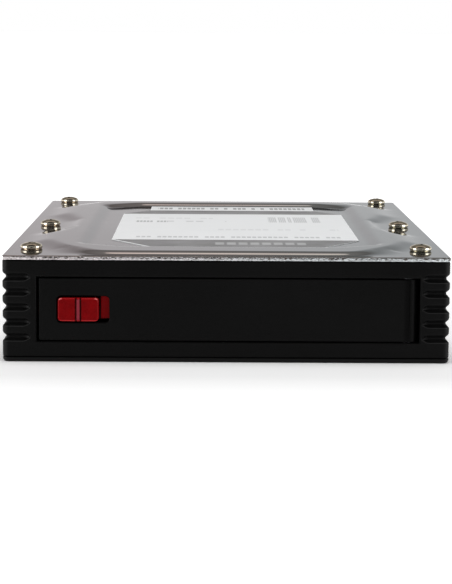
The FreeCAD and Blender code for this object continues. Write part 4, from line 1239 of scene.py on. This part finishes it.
worldSettings = {
    # by direction: X from left to right, Y from front to back, Z the height
    "ambient": 0.27,
    "backdrop": ((0.96, 0.92, 0.933, 1.0), (0.91, 0.923, 0.935, 1.0)),  # left, right
    "backdropTurn": (-0.09, 0.09),
    "horizon": (0.13, 0.5),  # height where the backdrop fades out
    "frontGap": (-0.8, -0.45),  # the backdrop is open towards the camera
    "ceiling": (0.19, 0.178, 0.168, 1.0),
    "ceilingFrom": (-0.05, 0.2),
    "front": grey(0.05),
    "lamp": (0.82, 0.71, 0.64, 1.0),  # a narrow warm light high up behind
    "lampBand": (0.857, 0.925, 0.03),
    "top": grey(0.035),
    "frontLamp": grey(0.8),
    "frontBand": (0.55, 0.72, 0.08),
    "frontFrom": (-0.3, -0.1),
}


def makeWorld():
    settings = worldSettings
    world = bpy.data.worlds.new("studio")
    bpy.context.scene.world = world
    world.use_nodes = True
    tree = world.node_tree
    x, y, z = axes(addNode(tree, "ShaderNodeTexCoord")["Generated"])
    behind = span(y, *settings["ceilingFrom"])
    upper = mixColour(behind, settings["front"], settings["ceiling"])
    low, high, soft = settings["lampBand"]
    upper = mixColour(span(z, high, high + soft), upper, settings["top"])
    upper = mixColour(times(between(z, low, high, soft), behind), upper, settings["lamp"])
    ahead = times(between(z, *settings["frontBand"]), fade(y, *settings["frontFrom"]))
    upper = mixColour(ahead, upper, settings["frontLamp"])
    around = times(fade(z, *settings["horizon"]), span(y, *settings["frontGap"]))
    backdrop = mixColour(span(x, *settings["backdropTurn"]), *settings["backdrop"])
    studio = mixColour(around, upper, backdrop)
    rays = addNode(tree, "ShaderNodeLightPath")
    shiny = maths("ADD", rays["Is Glossy Ray"], rays["Is Transmission Ray"], clamp=True)
    seen = mixColour(shiny, grey(settings["ambient"]), studio)
    feed(tree.nodes["Background"].inputs["Color"], mixColour(rays["Is Camera Ray"], seen, grey(1.0)))


softboxes = {
    # name: place, size, power, mirrored in shiny parts
    "overhead": ((0.0, -0.1, 0.75), (0.8, 0.5), 3.3, False),
    "left": ((-0.47, -0.22, 0.13), (0.3, 0.26), 1.3, True),
    "right": ((0.47, -0.22, 0.13), (0.3, 0.26), 1.2, True),
}
lightTarget = Vector((0.0, 0.0, 0.015))


def makeLights():
    for name, (place, extent, power, mirrored) in softboxes.items():
        lamp = bpy.data.lights.new(name, "AREA")
        lamp.shape = "RECTANGLE"
        lamp.size, lamp.size_y = extent
        lamp.energy = power
        holder = addObject(name, lamp)
        holder.location = place
        holder.rotation_euler = (lightTarget - Vector(place)).to_track_quat("-Z", "Y").to_euler()
        holder.visible_glossy = mirrored


cameraSettings = {
    "place": (-0.00365, -0.5245, 0.07526),
    "pan": -0.0079,
    "dip": 0.13005,
    "roll": 0.0065,
    "lens": 123.96,
    "sensor": 36.0,
    "nearest": 0.01,
}


def makeCamera():
    settings = cameraSettings
    lens = bpy.data.cameras.new("camera")
    lens.lens = settings["lens"]
    lens.sensor_width = settings["sensor"]
    lens.clip_start = settings["nearest"]
    camera = addObject("camera", lens)
    turn = Matrix.Rotation(settings["pan"], 4, "Z")
    turn = turn @ Matrix.Rotation(math.pi / 2 - settings["dip"], 4, "X")
    turn = turn @ Matrix.Rotation(settings["roll"], 4, "Z")
    camera.matrix_world = Matrix.Translation(settings["place"]) @ turn
    bpy.context.scene.camera = camera


makeFloor()
makeWorld()
makeLights()
makeCamera()
bpy.context.scene.view_settings.view_transform = "Standard"
print("stage set")
